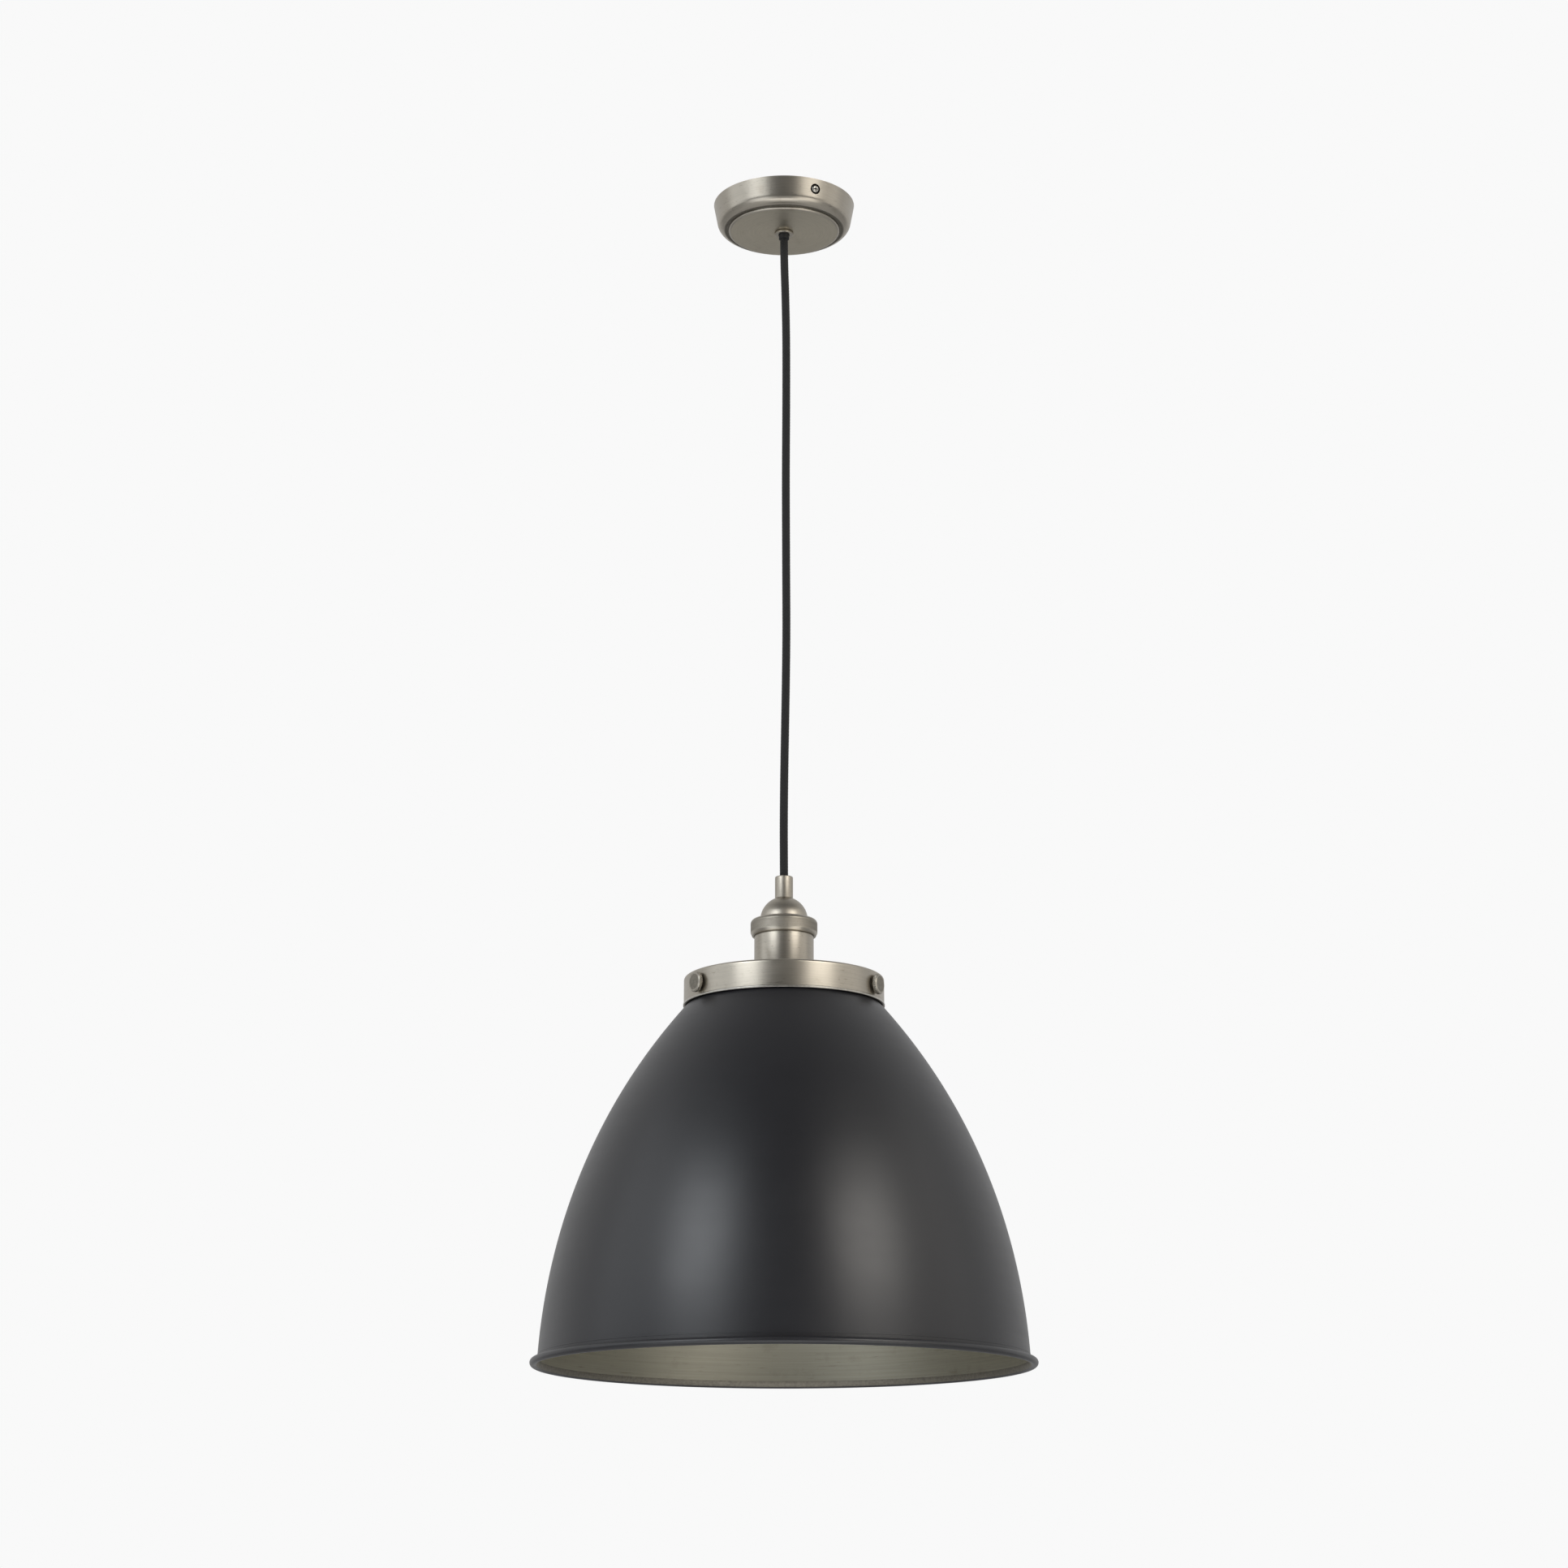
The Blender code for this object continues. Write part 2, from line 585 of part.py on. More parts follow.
def make_terminal_block(finishes, frame):
    """A two-way block under the bracket's ear, its clamping screws and its fixing screw."""
    top = -STRAP_THICKNESS - GAP
    bottom = top - BLOCK_SIZE.z
    level = (top + bottom) / 2
    half = BLOCK_SIZE / 2
    outline = rectangle((-half.x, BLOCK_CENTRE - half.y), (half.x, BLOCK_CENTRE + half.y))
    body = prism_mesh("terminal_block", outline, bottom, top)
    block = new_object("terminal_block", body, finishes["nylon"])
    block.parent = frame

    def bored(name, mesh, place=(0, 0, 0), tilt=0.0):
        tool = cutter(name, mesh)
        tool.parent = frame
        tool.location = place
        tool.rotation_euler = (tilt, 0, 0)
        cut(block, tool)

    long = BLOCK_SIZE.y
    for name, way in (("live", -BLOCK_WAY), ("neutral", BLOCK_WAY)):
        bore = prism_mesh(f"{name}_bore", polygon(SMALL, BLOCK_BORE), -long, long)
        bored(f"{name}_bore", bore, (way, BLOCK_CENTRE, level), math.radians(90))
        well = prism_mesh(f"{name}_well", polygon(SMALL, BLOCK_BORE), bottom - 1.0 * MM, level)
        bored(f"{name}_well", well, (way, BLOCK_CENTRE, 0))
        tip = level - CORE_RADIUS - GAP
        head = bottom - 0.6 * MM
        outline = [(0.0, head), (BLOCK_BORE - GAP, head), (BLOCK_BORE - GAP, tip), (0.0, tip)]
        label = f"terminal_screw_{name}"
        screw = new_object(label, turned_mesh(label, outline, SMALL), finishes["brass"])
        screw.parent = frame
        screw.location = (way, BLOCK_CENTRE, 0)
    fixing = polygon(SMALL, SMALL_SCREW_RADIUS + GAP)
    fixing_bore = prism_mesh("fixing_bore", fixing, bottom - 1.0 * MM, top + 1.0 * MM)
    bored("fixing_bore", fixing_bore, (0, BLOCK_CENTRE, 0))
    length = BLOCK_SIZE.z + 2 * GAP + 0.5 * STRAP_THICKNESS
    screw = hanging_screw("block_screw", length, finishes["brass"], frame)
    screw.location = (0.0, BLOCK_CENTRE, bottom - GAP)


def make_gland(finishes, root):
    """The flanged tube, its nut, the bush that the flex leaves by, and the grip that carries the weight."""
    edge = 0.6 * MM
    tube_outline = [
        (GLAND_BORE, GLAND_TUBE_TOP),
        (GLAND_BORE, FLANGE_BOTTOM),
        (GLAND_FLANGE_RADIUS - edge, FLANGE_BOTTOM),
        (GLAND_FLANGE_RADIUS, FLANGE_BOTTOM + edge),
        (GLAND_FLANGE_RADIUS, FLANGE_TOP),
        (GLAND_TUBE_RADIUS, FLANGE_TOP),
        (GLAND_TUBE_RADIUS, GLAND_TUBE_TOP),
    ]
    turned("gland_tube", tube_outline, finishes["pewter"], root, MEDIUM)
    flare = 0.4 * MM
    bush_outline = [
        (FLEX_BORE, BUSHING_TOP),
        (FLEX_BORE, GLAND_MOUTH + 2 * flare),
        (FLEX_BORE + flare, GLAND_MOUTH),
        (BUSHING_RADIUS, GLAND_MOUTH),
        (BUSHING_RADIUS, GLAND_TUBE_TOP + GAP),
        (GLAND_TUBE_RADIUS, GLAND_TUBE_TOP + GAP),
        (GLAND_TUBE_RADIUS, BUSHING_TOP),
    ]
    turned("gland_bushing", bush_outline, finishes["plastic"], root)
    nut_bottom = CANOPY_INSIDE + GAP
    nut_top = nut_bottom + GLAND_NUT_HEIGHT
    hexagon_nut("gland_nut", GLAND_TUBE_RADIUS, nut_bottom, nut_top, finishes["zinc"], root)

    grip_outline = [(FLEX_BORE, GRIP_BOTTOM), (GRIP_RADIUS, GRIP_BOTTOM)]
    grip_outline += [(GRIP_RADIUS, GRIP_TOP), (FLEX_BORE, GRIP_TOP)]
    grip = turned("cord_grip", grip_outline, finishes["nylon"], root)
    middle = (GRIP_BOTTOM + GRIP_TOP) / 2
    side = CANOPY_SCREW_AZIMUTH - 90
    wide = SMALL_SCREW_RADIUS + GAP
    bore = [(0.0, 0.0), (wide, 0.0), (wide, 2 * GRIP_RADIUS), (0.0, 2 * GRIP_RADIUS)]
    tool = cutter("grip_bore", turned_mesh("grip_bore", bore, SMALL), root)
    face_outward(tool, side, 1.0 * MM, middle)
    cut(grip, tool)
    length = GRIP_RADIUS - FLEX_RADIUS
    screw = turned(
        "cord_grip_screw",
        pan_screw_outline(SMALL_SCREW_RADIUS, SMALL_HEAD_RADIUS, SMALL_HEAD_HEIGHT, length),
        finishes["brass"],
        root,
    )
    face_outward(screw, side, GRIP_RADIUS + GAP, middle)


def hexagon_nut(name, stud_radius, bottom, top, finish, root):
    """A hexagon nut round a stud on the axis."""
    across_corners = (stud_radius + GAP + NUT_WALL) / math.cos(math.pi / 6)
    nut = new_object(name, prism_mesh(name, polygon(6, across_corners), bottom, top), finish, root)
    label = f"{name}_bore"
    bore = prism_mesh(label, polygon(SMALL, stud_radius + GAP), bottom - 1.0 * MM, top + 1.0 * MM)
    cut(nut, cutter(label, bore, root))


# ---------------------------------------------------------------- flex and cores


def free_route():
    """The flex from the gland's mouth to the ferrule's, with the slight set that it keeps from its coil."""
    sway = [
        (0.00, 0.0),
        (0.05, 0.0),
        (0.14, 0.2),
        (0.32, 0.35),
        (0.43, 0.3),
        (0.54, 1.0),
        (0.63, 1.5),
        (0.74, 0.9),
        (0.85, 0.2),
        (0.95, 0.0),
        (1.00, 0.0),
    ]
    top = GLAND_MOUTH - GAP
    bottom = FERRULE_TOP + GAP
    points = [(x * MM, 0.0, top + (bottom - top) * share) for share, x in sway]
    return smooth_route(points, 5 * FLEX_RADIUS)


def make_flex(finishes, root, pivots):
    """The flex in its six stretches, parted where it bends and twists."""
    fabric = finishes["fabric"]

    def straight(name, top, bottom, parent):
        tube(name, [(0, 0, top), (0, 0, (top + bottom) / 2), (0, 0, bottom)], FLEX_RADIUS, fabric, parent)

    bend_top = GLAND_MOUTH + BEND_LENGTH
    straight("cord_inner", FLEX_TOP, bend_top + GAP, root)
    straight("cord_gland_bend", bend_top, GLAND_MOUTH, pivots["gland"])
    route = free_route()
    upper = [p for p in route if p.z > TWIST_LEVEL]
    lower = [p for p in route if p.z <= TWIST_LEVEL]
    middle = (upper[-1] + lower[0]) / 2
    half_gap = Vector((0, 0, GAP / 2))
    tube("cord_upper", upper + [middle + half_gap], FLEX_RADIUS, fabric, pivots["gland"])
    tube("cord_lower", [middle - half_gap] + lower, FLEX_RADIUS, fabric, pivots["twist"])
    bend_bottom = FERRULE_TOP - BEND_LENGTH
    straight("cord_ferrule_bend", FERRULE_TOP, bend_bottom, pivots["ferrule"])
    straight("cord_holder_inner", bend_bottom - GAP, SPIGOT_BOTTOM, pivots["lamp"])


def make_canopy_cores(finishes, root, frame):
    """The flex's cores inside the canopy, to the terminal block and the earth screw."""
    start = FLEX_TOP + GAP
    rise = start + 1.2 * MM
    level = -STRAP_THICKNESS - GAP - BLOCK_SIZE.z / 2
    crest = start + 3.0 * MM
    near = BLOCK_CENTRE - BLOCK_SIZE.y / 2
    for name, side, finish in (("live", -1, "core_brown"), ("neutral", 1, "core_blue")):
        x = side * CORE_PLACE
        way = side * BLOCK_WAY
        route = [(x, 0.6 * MM, start), (x, 0.6 * MM, rise), (1.3 * x, 3.0 * MM, crest)]
        route += [(1.8 * x, 6.5 * MM, crest), (0.8 * way, 11.0 * MM, level)]
        route += [(way, near - 1.0 * MM, level), (way, near + 4.0 * MM, level)]
        wire = tube(f"wire_{name}", smooth_route(route, 2.4 * MM), CORE_RADIUS, finishes[finish], None)
        wire.parent = frame
    end = EARTH_SCREW_PLACE + SMALL_HEAD_RADIUS + GAP
    screw_level = -STRAP_THICKNESS - GAP - SMALL_HEAD_HEIGHT / 2 - GAP
    route = [(0.0, -1.9 * MM, start), (0.0, -1.9 * MM, rise), (-2.4 * MM, -2.2 * MM, crest)]
    route += [(0.6 * end, -0.8 * MM, screw_level), (end, 0.0, screw_level)]
    wire = tube("wire_earth", smooth_route(route, 2.4 * MM), CORE_RADIUS, finishes["core_green"], None)
    wire.parent = frame


def make_holder_cores(finishes, lamp):
    """The flex's cores inside the dome, down to the lampholder's screws."""
    start = SPIGOT_BOTTOM - GAP
    end = INSULATOR_TOP + SMALL_HEAD_HEIGHT / 2 + GAP + 0.6 * MM
    drop = start - end
    for name, turn, finish in (
        ("live", 0, "core_brown"),
        ("neutral", 120, "core_blue"),
        ("earth", 240, "core_green"),
    ):
        stop = HOLDER_SCREW_PLACE - SMALL_HEAD_RADIUS - GAP
        run = [(CORE_PLACE, start), (CORE_PLACE + 0.4 * MM, start - 0.35 * drop)]
        run += [(0.55 * stop + 0.6 * MM, start - 0.7 * drop)]
        run += [(stop - CORE_RADIUS, end + 0.2 * MM), (stop, end)]
        angle = math.radians(turn)
        route = [(r * math.cos(angle), r * math.sin(angle), z) for r, z in run]
        tube(f"holder_wire_{name}", smooth_route(route, 2.4 * MM), CORE_RADIUS, finishes[finish], lamp)
        screw = turned(
            f"holder_screw_{name}",
            pan_screw_outline(SMALL_SCREW_RADIUS, SMALL_HEAD_RADIUS, SMALL_HEAD_HEIGHT, 6.0 * MM),
            finishes["brass"],
            lamp,
        )
        place = HOLDER_SCREW_PLACE
        screw.location = (place * math.cos(angle), place * math.sin(angle), INSULATOR_TOP + GAP)


# ---------------------------------------------------------------- lampholder


def make_ferrule(finishes, lamp):
    """The slim tube on top, its spigot through the dome, its grub screw and the nut inside."""
    edge = 1.0 * MM
    flare = 0.9 * MM
    outline = (
        [(FLEX_BORE, SPIGOT_BOTTOM), (SPIGOT_RADIUS, SPIGOT_BOTTOM), (SPIGOT_RADIUS, FERRULE_BOTTOM)]
        + [(FERRULE_RADIUS, FERRULE_BOTTOM)]
        + arc((FERRULE_RADIUS - edge, FERRULE_TOP - edge), edge, 0, 90, 3)
        + [(FLEX_BORE + flare, FERRULE_TOP), (FLEX_BORE, FERRULE_TOP - 1.5 * flare)]
    )
    ferrule = turned("ferrule", outline, finishes["pewter"], lamp, MEDIUM)
    level = FERRULE_TOP - 0.65 * FERRULE_LENGTH
    bore = SMALL_SCREW_RADIUS + GAP
    tool = cutter(
        "grub_bore",
        turned_mesh("grub_bore", [(0.0, 0.0), (bore, 0.0), (bore, 12.0 * MM), (0.0, 12.0 * MM)], SMALL),
        lamp,
    )
    face_outward(tool, 180, 1.0 * MM, level)
    cut(ferrule, tool)
    length = FERRULE_RADIUS - FLEX_BORE - 2 * GAP
    socket = 0.8 * MM
    outline = [(0.0, 0.0), (SMALL_SCREW_RADIUS, 0.0), (SMALL_SCREW_RADIUS, length), (socket, length)]
    outline += [(socket, 0.55 * length), (0.0, 0.55 * length)]
    grub = turned("ferrule_grub_screw", outline, finishes["zinc"], lamp, 12)
    face_outward(grub, 180, FLEX_BORE + GAP, level)

    across = (SPIGOT_RADIUS + GAP + NUT_WALL) / math.cos(math.pi / 6)
    inside = DOME_CENTRE + math.sqrt((DOME_RADIUS - DOME_WALL) ** 2 - across**2)
    top = min(inside, DOME_TOP - DOME_WALL) - GAP
    hexagon_nut("holder_nut", SPIGOT_RADIUS, top - HOLDER_NUT_HEIGHT, top, finishes["zinc"], lamp)


def make_dome(finishes, lamp):
    """The ball-shaped cap, with the flange that the lock ring holds."""
    inner = DOME_RADIUS - DOME_WALL
    hole = SPIGOT_RADIUS + GAP
    start = math.degrees(math.acos(DOME_FLAT / DOME_RADIUS))
    inside_top = DOME_TOP - DOME_WALL
    inner_end = math.degrees(math.asin((inside_top - DOME_CENTRE) / inner))
    outline = (
        [(hole, DOME_TOP)]
        + arc((0.0, DOME_CENTRE), DOME_RADIUS, start, 0, 5)
        + [(DOME_RADIUS, FLANGE_SHELF), (FLANGE_RADIUS, FLANGE_SHELF)]
        + [(FLANGE_RADIUS, DOME_BOTTOM), (inner, DOME_BOTTOM)]
        + arc((0.0, DOME_CENTRE), inner, 0, inner_end, 5)
        + [(hole, inside_top)]
    )
    turned("dome_cap", outline, finishes["pewter"], lamp, MEDIUM)


def make_lock_ring(finishes, pivot):
    """The ring that screws on the sleeve and clamps the dome's flange."""
    shoulder = 3.4 * MM
    chamfer = 2.6 * MM
    lip = DOME_RADIUS + GAP
    outline = (
        [(lip, RING_TOP - RING_LIP), (lip, RING_TOP)]
        + arc((RING_RADIUS - shoulder, RING_TOP - shoulder), shoulder, 90, 0, 3)
        + [(RING_RADIUS, RING_BOTTOM + chamfer), (RING_RADIUS - 0.5 * chamfer, RING_BOTTOM)]
        + [(RING_BORE, RING_BOTTOM), (RING_BORE, RING_TOP - RING_LIP)]
    )
    turned("lock_ring", outline, finishes["pewter"], pivot, ROUND)


def make_holder_body(finishes, lamp):
    """The sleeve, the porcelain inside it, the screw shell and the centre contact."""
    inside = SLEEVE_RADIUS - SLEEVE_WALL
    sleeve = [
        (SLEEVE_RADIUS, SLEEVE_TOP),
        (SLEEVE_RADIUS, SLEEVE_BOTTOM),
        (NECK_HOLE, SLEEVE_BOTTOM),
        (NECK_HOLE, SLEEVE_BOTTOM + SLEEVE_WALL),
        (inside, SLEEVE_BOTTOM + SLEEVE_WALL),
        (inside, SLEEVE_TOP),
    ]
    turned("holder_sleeve", sleeve[::-1], finishes["pewter"], lamp, MEDIUM)

    body = inside - GAP
    insulator = [
        (0.0, INSULATOR_TOP),
        (body, INSULATOR_TOP),
        (body, INSULATOR_SHELF),
        (INSULATOR_NECK, INSULATOR_SHELF),
        (INSULATOR_NECK, INSULATOR_BOTTOM),
        (SOCKET_BORE, INSULATOR_BOTTOM),
        (SOCKET_BORE, SOCKET_TOP),
        (0.0, SOCKET_TOP),
    ]
    block = turned("holder_insulator", insulator, finishes["porcelain"], lamp, MEDIUM)
    wells = SMALL_SCREW_RADIUS + GAP
    for name, turn in (("live", 0), ("neutral", 120), ("earth", 240)):
        angle = math.radians(turn)
        place = (HOLDER_SCREW_PLACE * math.cos(angle), HOLDER_SCREW_PLACE * math.sin(angle))
        label = f"holder_well_{name}"
        low = INSULATOR_TOP - 6.5 * MM
        well = prism_mesh(label, polygon(SMALL, wells, place), low, INSULATOR_TOP + 1.0 * MM)
        cut(block, cutter(label, well, lamp))

    ripples = 3
    depth = 0.25 * MM
    outside = [(SHELL_RADIUS, SHELL_TOP)]
    pitch = (SHELL_TOP - SHELL_BOTTOM) / (2 * ripples + 1)
    for k in range(1, 2 * ripples + 1):
        outside.append((SHELL_RADIUS - (depth if k % 2 else 0.0), SHELL_TOP - k * pitch))
    outside.append((SHELL_RADIUS, SHELL_BOTTOM))
    inner = [(r - SHELL_WALL, z) for r, z in outside]
    turned("screw_shell", outside + inner[::-1], finishes["brass"], lamp, CAP_SEGMENTS)

    thick = 0.5 * MM
    spring = [(-10.0, 0.0), (-5.0, 0.0), (1.0, 3.2), (4.0, 3.4), (6.0, 2.4)]
    spring = [(x * MM, -z * MM) for x, z in spring]
    profile = spring + offset(spring, -thick)[::-1]
    mesh = prism_mesh("centre_contact", profile, -3.0 * MM, 3.0 * MM)
    contact = new_object("centre_contact", mesh, finishes["brass"], lamp)
    contact.rotation_euler = (math.radians(90), 0, 0)
    contact.location = (0, 0, SOCKET_TOP - GAP)


def make_gallery(finishes, lamp, thumb_level):
    """The collar that carries the shade, clamped under the sleeve by a ring nut."""
    inside = GALLERY_RADIUS - GALLERY_WALL
    under = GALLERY_TOP - GALLERY_WALL
    lip_top = GALLERY_BOTTOM + 1.4 * MM
    outline = (
        [(NECK_HOLE, GALLERY_TOP)]
        + arc((GALLERY_RADIUS - GALLERY_EDGE, GALLERY_TOP - GALLERY_EDGE), GALLERY_EDGE, 90, 0, 3)
        + [(GALLERY_RADIUS, lip_top), (GALLERY_RADIUS + GALLERY_LIP, GALLERY_BOTTOM + 0.6 * MM)]
        + [(GALLERY_RADIUS + GALLERY_LIP - 0.3 * MM, GALLERY_BOTTOM), (inside, GALLERY_BOTTOM)]
        + [(inside, under - 1.0 * MM), (inside - 1.0 * MM, under), (NECK_HOLE, under)]
    )
    gallery = turned("gallery", outline, finishes["pewter"], lamp, ROUND)
    bore = THUMB_SHANK + GAP
    for number, azimuth in enumerate(THUMB_AZIMUTHS, 1):
        label = f"thumb_hole_{number}"
        drill = [(0.0, 0.0), (bore, 0.0), (bore, 10.0 * MM), (0.0, 10.0 * MM)]
        tool = cutter(label, turned_mesh(label, drill, SMALL), lamp)
        face_outward(tool, azimuth, inside - 4.0 * MM, thumb_level)
        cut(gallery, tool)

    nut_top = under - GAP
    outline = [
        (NECK_HOLE, nut_top),
        (SHADE_NUT_RADIUS, nut_top),
        (SHADE_NUT_RADIUS, nut_top - 0.7 * SHADE_NUT_HEIGHT),
        (SHADE_NUT_RADIUS - 2.0 * MM, nut_top - SHADE_NUT_HEIGHT),
        (NECK_HOLE, nut_top - SHADE_NUT_HEIGHT),
    ]
    turned("shade_nut", outline, finishes["plastic"], lamp, MEDIUM)


def make_thumb_screws(finishes, lamp, level):
    """Three round-headed screws through the gallery that hold the shade's neck."""
    surface = GALLERY_RADIUS + GAP
    tip = SHADE_NECK_RADIUS + GAP
    edge = 0.5 * MM
    back = KNOB_STANDOFF
    front = back + KNOB_THICKNESS
    for number, azimuth in enumerate(THUMB_AZIMUTHS, 1):
        pivot = empty(f"thumb_pivot_{number}")
        face_outward(pivot, azimuth, surface, level)
        hold(pivot, lamp)
        outline = [
            (0.0, tip - surface),
            (THUMB_SHANK, tip - surface),
            (THUMB_SHANK, 0.0),
            (KNOB_NECK, 0.0),
            (KNOB_NECK, back),
            (KNOB_RADIUS - edge, back),
            (KNOB_RADIUS, back + edge),
            (KNOB_RADIUS, front - edge),
            (KNOB_RADIUS - edge, front),
            (0.0, front),
        ]
        name = f"thumb_screw_{number}"
        knob = new_object(name, turned_mesh(name, outline, CAP_SEGMENTS), finishes["pewter"])
        knob.parent = pivot


# ---------------------------------------------------------------- shade and bulb


def bell_outline(steps):
    """The bell's outer curve, from the gallery's lower edge to the bead."""
    start = (SHADE_NECK_RADIUS + 0.36 * MM, GALLERY_BOTTOM)
    growth = SHADE_RIM_RADIUS - start[0]
    handles = []
    for down, wide in (BELL_UPPER, BELL_LOWER):
        handles.append((start[0] + growth * wide, GALLERY_BOTTOM - SHADE_HEIGHT * down))
    return bezier(start, *handles, (SHADE_RIM_RADIUS, SHADE_BOTTOM), steps)


def make_shade(finishes, lamp):
    """The spun bell, with a straight neck inside the gallery and a rolled bead round the rim."""
    neck_top = GALLERY_BOTTOM + SHADE_NECK_RISE
    neck = [(SHADE_NECK_RADIUS, neck_top), (SHADE_NECK_RADIUS, GALLERY_BOTTOM + 2.0 * MM)]
    outside = neck + bell_outline(9)
    inside = offset(outside[::-1], SHADE_WALL)
    bead = arc((SHADE_RIM_RADIUS + 2.95 * MM, SHADE_BOTTOM - 2.85 * MM), BEAD_RADIUS, 135, -180, 7)
    turned("shade", outside + bead + inside, finishes["charcoal"], lamp, ROUND)


def make_bulb(finishes, bulb):
    """A pear-shaped bulb with a screw cap, which the shell holds."""
    button = 1.3 * MM
    turned(
        "bulb_contact",
        [(0.0, BULB_TOP), (3.6 * MM, BULB_TOP), (4.6 * MM, BULB_TOP - button), (0.0, BULB_TOP - button)],
        finishes["brass"],
        bulb,
    )
    glass_top = BULB_TOP - button - GAP
    glass_bottom = glass_top - 3.4 * MM
    turned(
        "bulb_insulator",
        [(0.0, glass_top), (5.2 * MM, glass_top), (CAP_MOUTH, glass_bottom), (0.0, glass_bottom)],
        finishes["plastic"],
        bulb,
        CAP_SEGMENTS,
    )
    cap_top = glass_bottom - GAP
    cap_bottom = cap_top - CAP_LENGTH
    ripples = 3
    depth = 0.35 * MM
    outside = [(CAP_MOUTH, cap_top), (CAP_RADIUS, cap_top - 2.2 * MM)]
    pitch = (CAP_LENGTH - 6.0 * MM) / (2 * ripples)
    for k in range(1, 2 * ripples + 1):
        outside.append((CAP_RADIUS - (depth if k % 2 else 0.0), cap_top - 2.2 * MM - k * pitch))
    outside.append((CAP_RADIUS, cap_bottom))
    thickness = CAP_WALL
    inside = [(r - thickness, z) for r, z in outside[1:]]
    outline = outside + inside[::-1] + [(CAP_MOUTH - thickness, cap_top)]
    turned("bulb_cap", outline, finishes["brass"], bulb, CAP_SEGMENTS)

    neck = CAP_RADIUS - depth - thickness - GAP
    centre = (0.0, BULB_TOP - BULB_LENGTH + BULB_RADIUS)
    tangent = math.radians(40)
    join = (BULB_RADIUS * math.cos(tangent), centre[1] + BULB_RADIUS * math.sin(tangent))
    handle = 9.0 * MM
    swell = bezier(
        (neck, cap_bottom - 0.5 * MM),
        (neck + 0.4 * MM, cap_bottom - 9.0 * MM),
        (join[0] - handle * math.sin(tangent), join[1] + handle * math.cos(tangent)),
        join,
        4,
    )
    outer = [(neck, cap_bottom + 5.0 * MM)] + swell + arc(centre, BULB_RADIUS, 40, -90, 6)[1:]
    outer[-1] = (0.0, outer[-1][1])
    inner = [(max(r, 0.0), z) for r, z in offset(outer[::-1], BULB_GLASS)]
    inner[0] = (0.0, outer[-1][1] + BULB_GLASS)
    turned_open(outer, inner, "bulb_glass", finishes["glass"], bulb)

    stem_top = cap_bottom + 2.0 * MM
    stem = [(0.0, stem_top), (6.0 * MM, stem_top), (3.0 * MM, stem_top - 12.0 * MM)]
    stem += [(2.4 * MM, stem_top - 30.0 * MM), (0.0, stem_top - 31.0 * MM)]
    turned("bulb_stem", stem, finishes["glass"], bulb)
    ring = 9.0 * MM
    level = centre[1]
    turns = [math.radians(30 + 300 * k / 12) for k in range(13)]
    loop = [(ring * math.cos(a), ring * math.sin(a), level) for a in turns]
    lead = [(loop[0][0], loop[0][1], stem_top - 10.0 * MM)]
    other = [(loop[-1][0], loop[-1][1], stem_top - 10.0 * MM)]
    tube("bulb_filament", lead + loop + other, 0.5 * MM, finishes["filament"], bulb)


def turned_open(outer, inner, name, finish, parent):
    """A turned shell that is closed across the axis at its far end and open at its neck."""
    bm = bmesh.new()
    for run in (outer, inner):
        points = [bm.verts.new((radius, 0.0, height)) for radius, height in run]
        edges = [bm.edges.new(pair) for pair in zip(points, points[1:])]
        bmesh.ops.spin(
            bm,
            geom=points + edges,
            cent=(0, 0, 0),
            axis=(0, 0, 1),
            angle=2 * math.pi,
            steps=CAP_SEGMENTS,
            use_merge=True,
        )
    bmesh.ops.remove_doubles(bm, verts=bm.verts, dist=1e-7)
    rims = [edge for edge in bm.edges if edge.is_boundary]
    bmesh.ops.bridge_loops(bm, edges=rims)
    new_object(name, finish_mesh(name, bm), finish, parent)


# ---------------------------------------------------------------- assembly


def main():
    """Build the whole light in an empty scene."""
    for old in list(bpy.data.objects):
        bpy.data.objects.remove(old, do_unlink=True)
    finishes = make_materials()
    root = empty("ceiling_frame")
    gland = empty("gland_pivot", (0, 0, GLAND_MOUTH))
    twist = empty("twist_pivot", (0, 0, TWIST_LEVEL))
    ferrule = empty("ferrule_pivot", (0, 0, FERRULE_TOP))
    lamp = empty("lamp_frame", (0, 0, FERRULE_TOP))
    ring = empty("ring_pivot", (0, 0, RING_TOP))
    bulb = empty("bulb_pivot", (0, 0, BULB_TOP))

    make_gland(finishes, root)
    back = make_canopy(finishes, root)
    frame = make_bracket(finishes, root, back)
    make_canopy_cores(finishes, root, frame)
    make_flex(finishes, root, {"gland": gland, "twist": twist, "ferrule": ferrule, "lamp": lamp})
    make_holder_cores(finishes, lamp)
    make_ferrule(finishes, lamp)
    make_dome(finishes, lamp)
    make_lock_ring(finishes, ring)
    make_holder_body(finishes, lamp)
    make_gallery(finishes, lamp, THUMB_LEVEL)
    make_thumb_screws(finishes, lamp, THUMB_LEVEL)
    make_shade(finishes, lamp)
    make_bulb(finishes, bulb)

    hold(gland, root)
    hold(twist, gland)
    hold(ferrule, twist)
    hold(lamp, ferrule)
    hold(ring, lamp)
    hold(bulb, lamp)


main()
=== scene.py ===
"""Looks of the pendant ceiling light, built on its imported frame."""
import math

import bmesh
import bpy
import numpy as np
from mathutils import Matrix, Vector


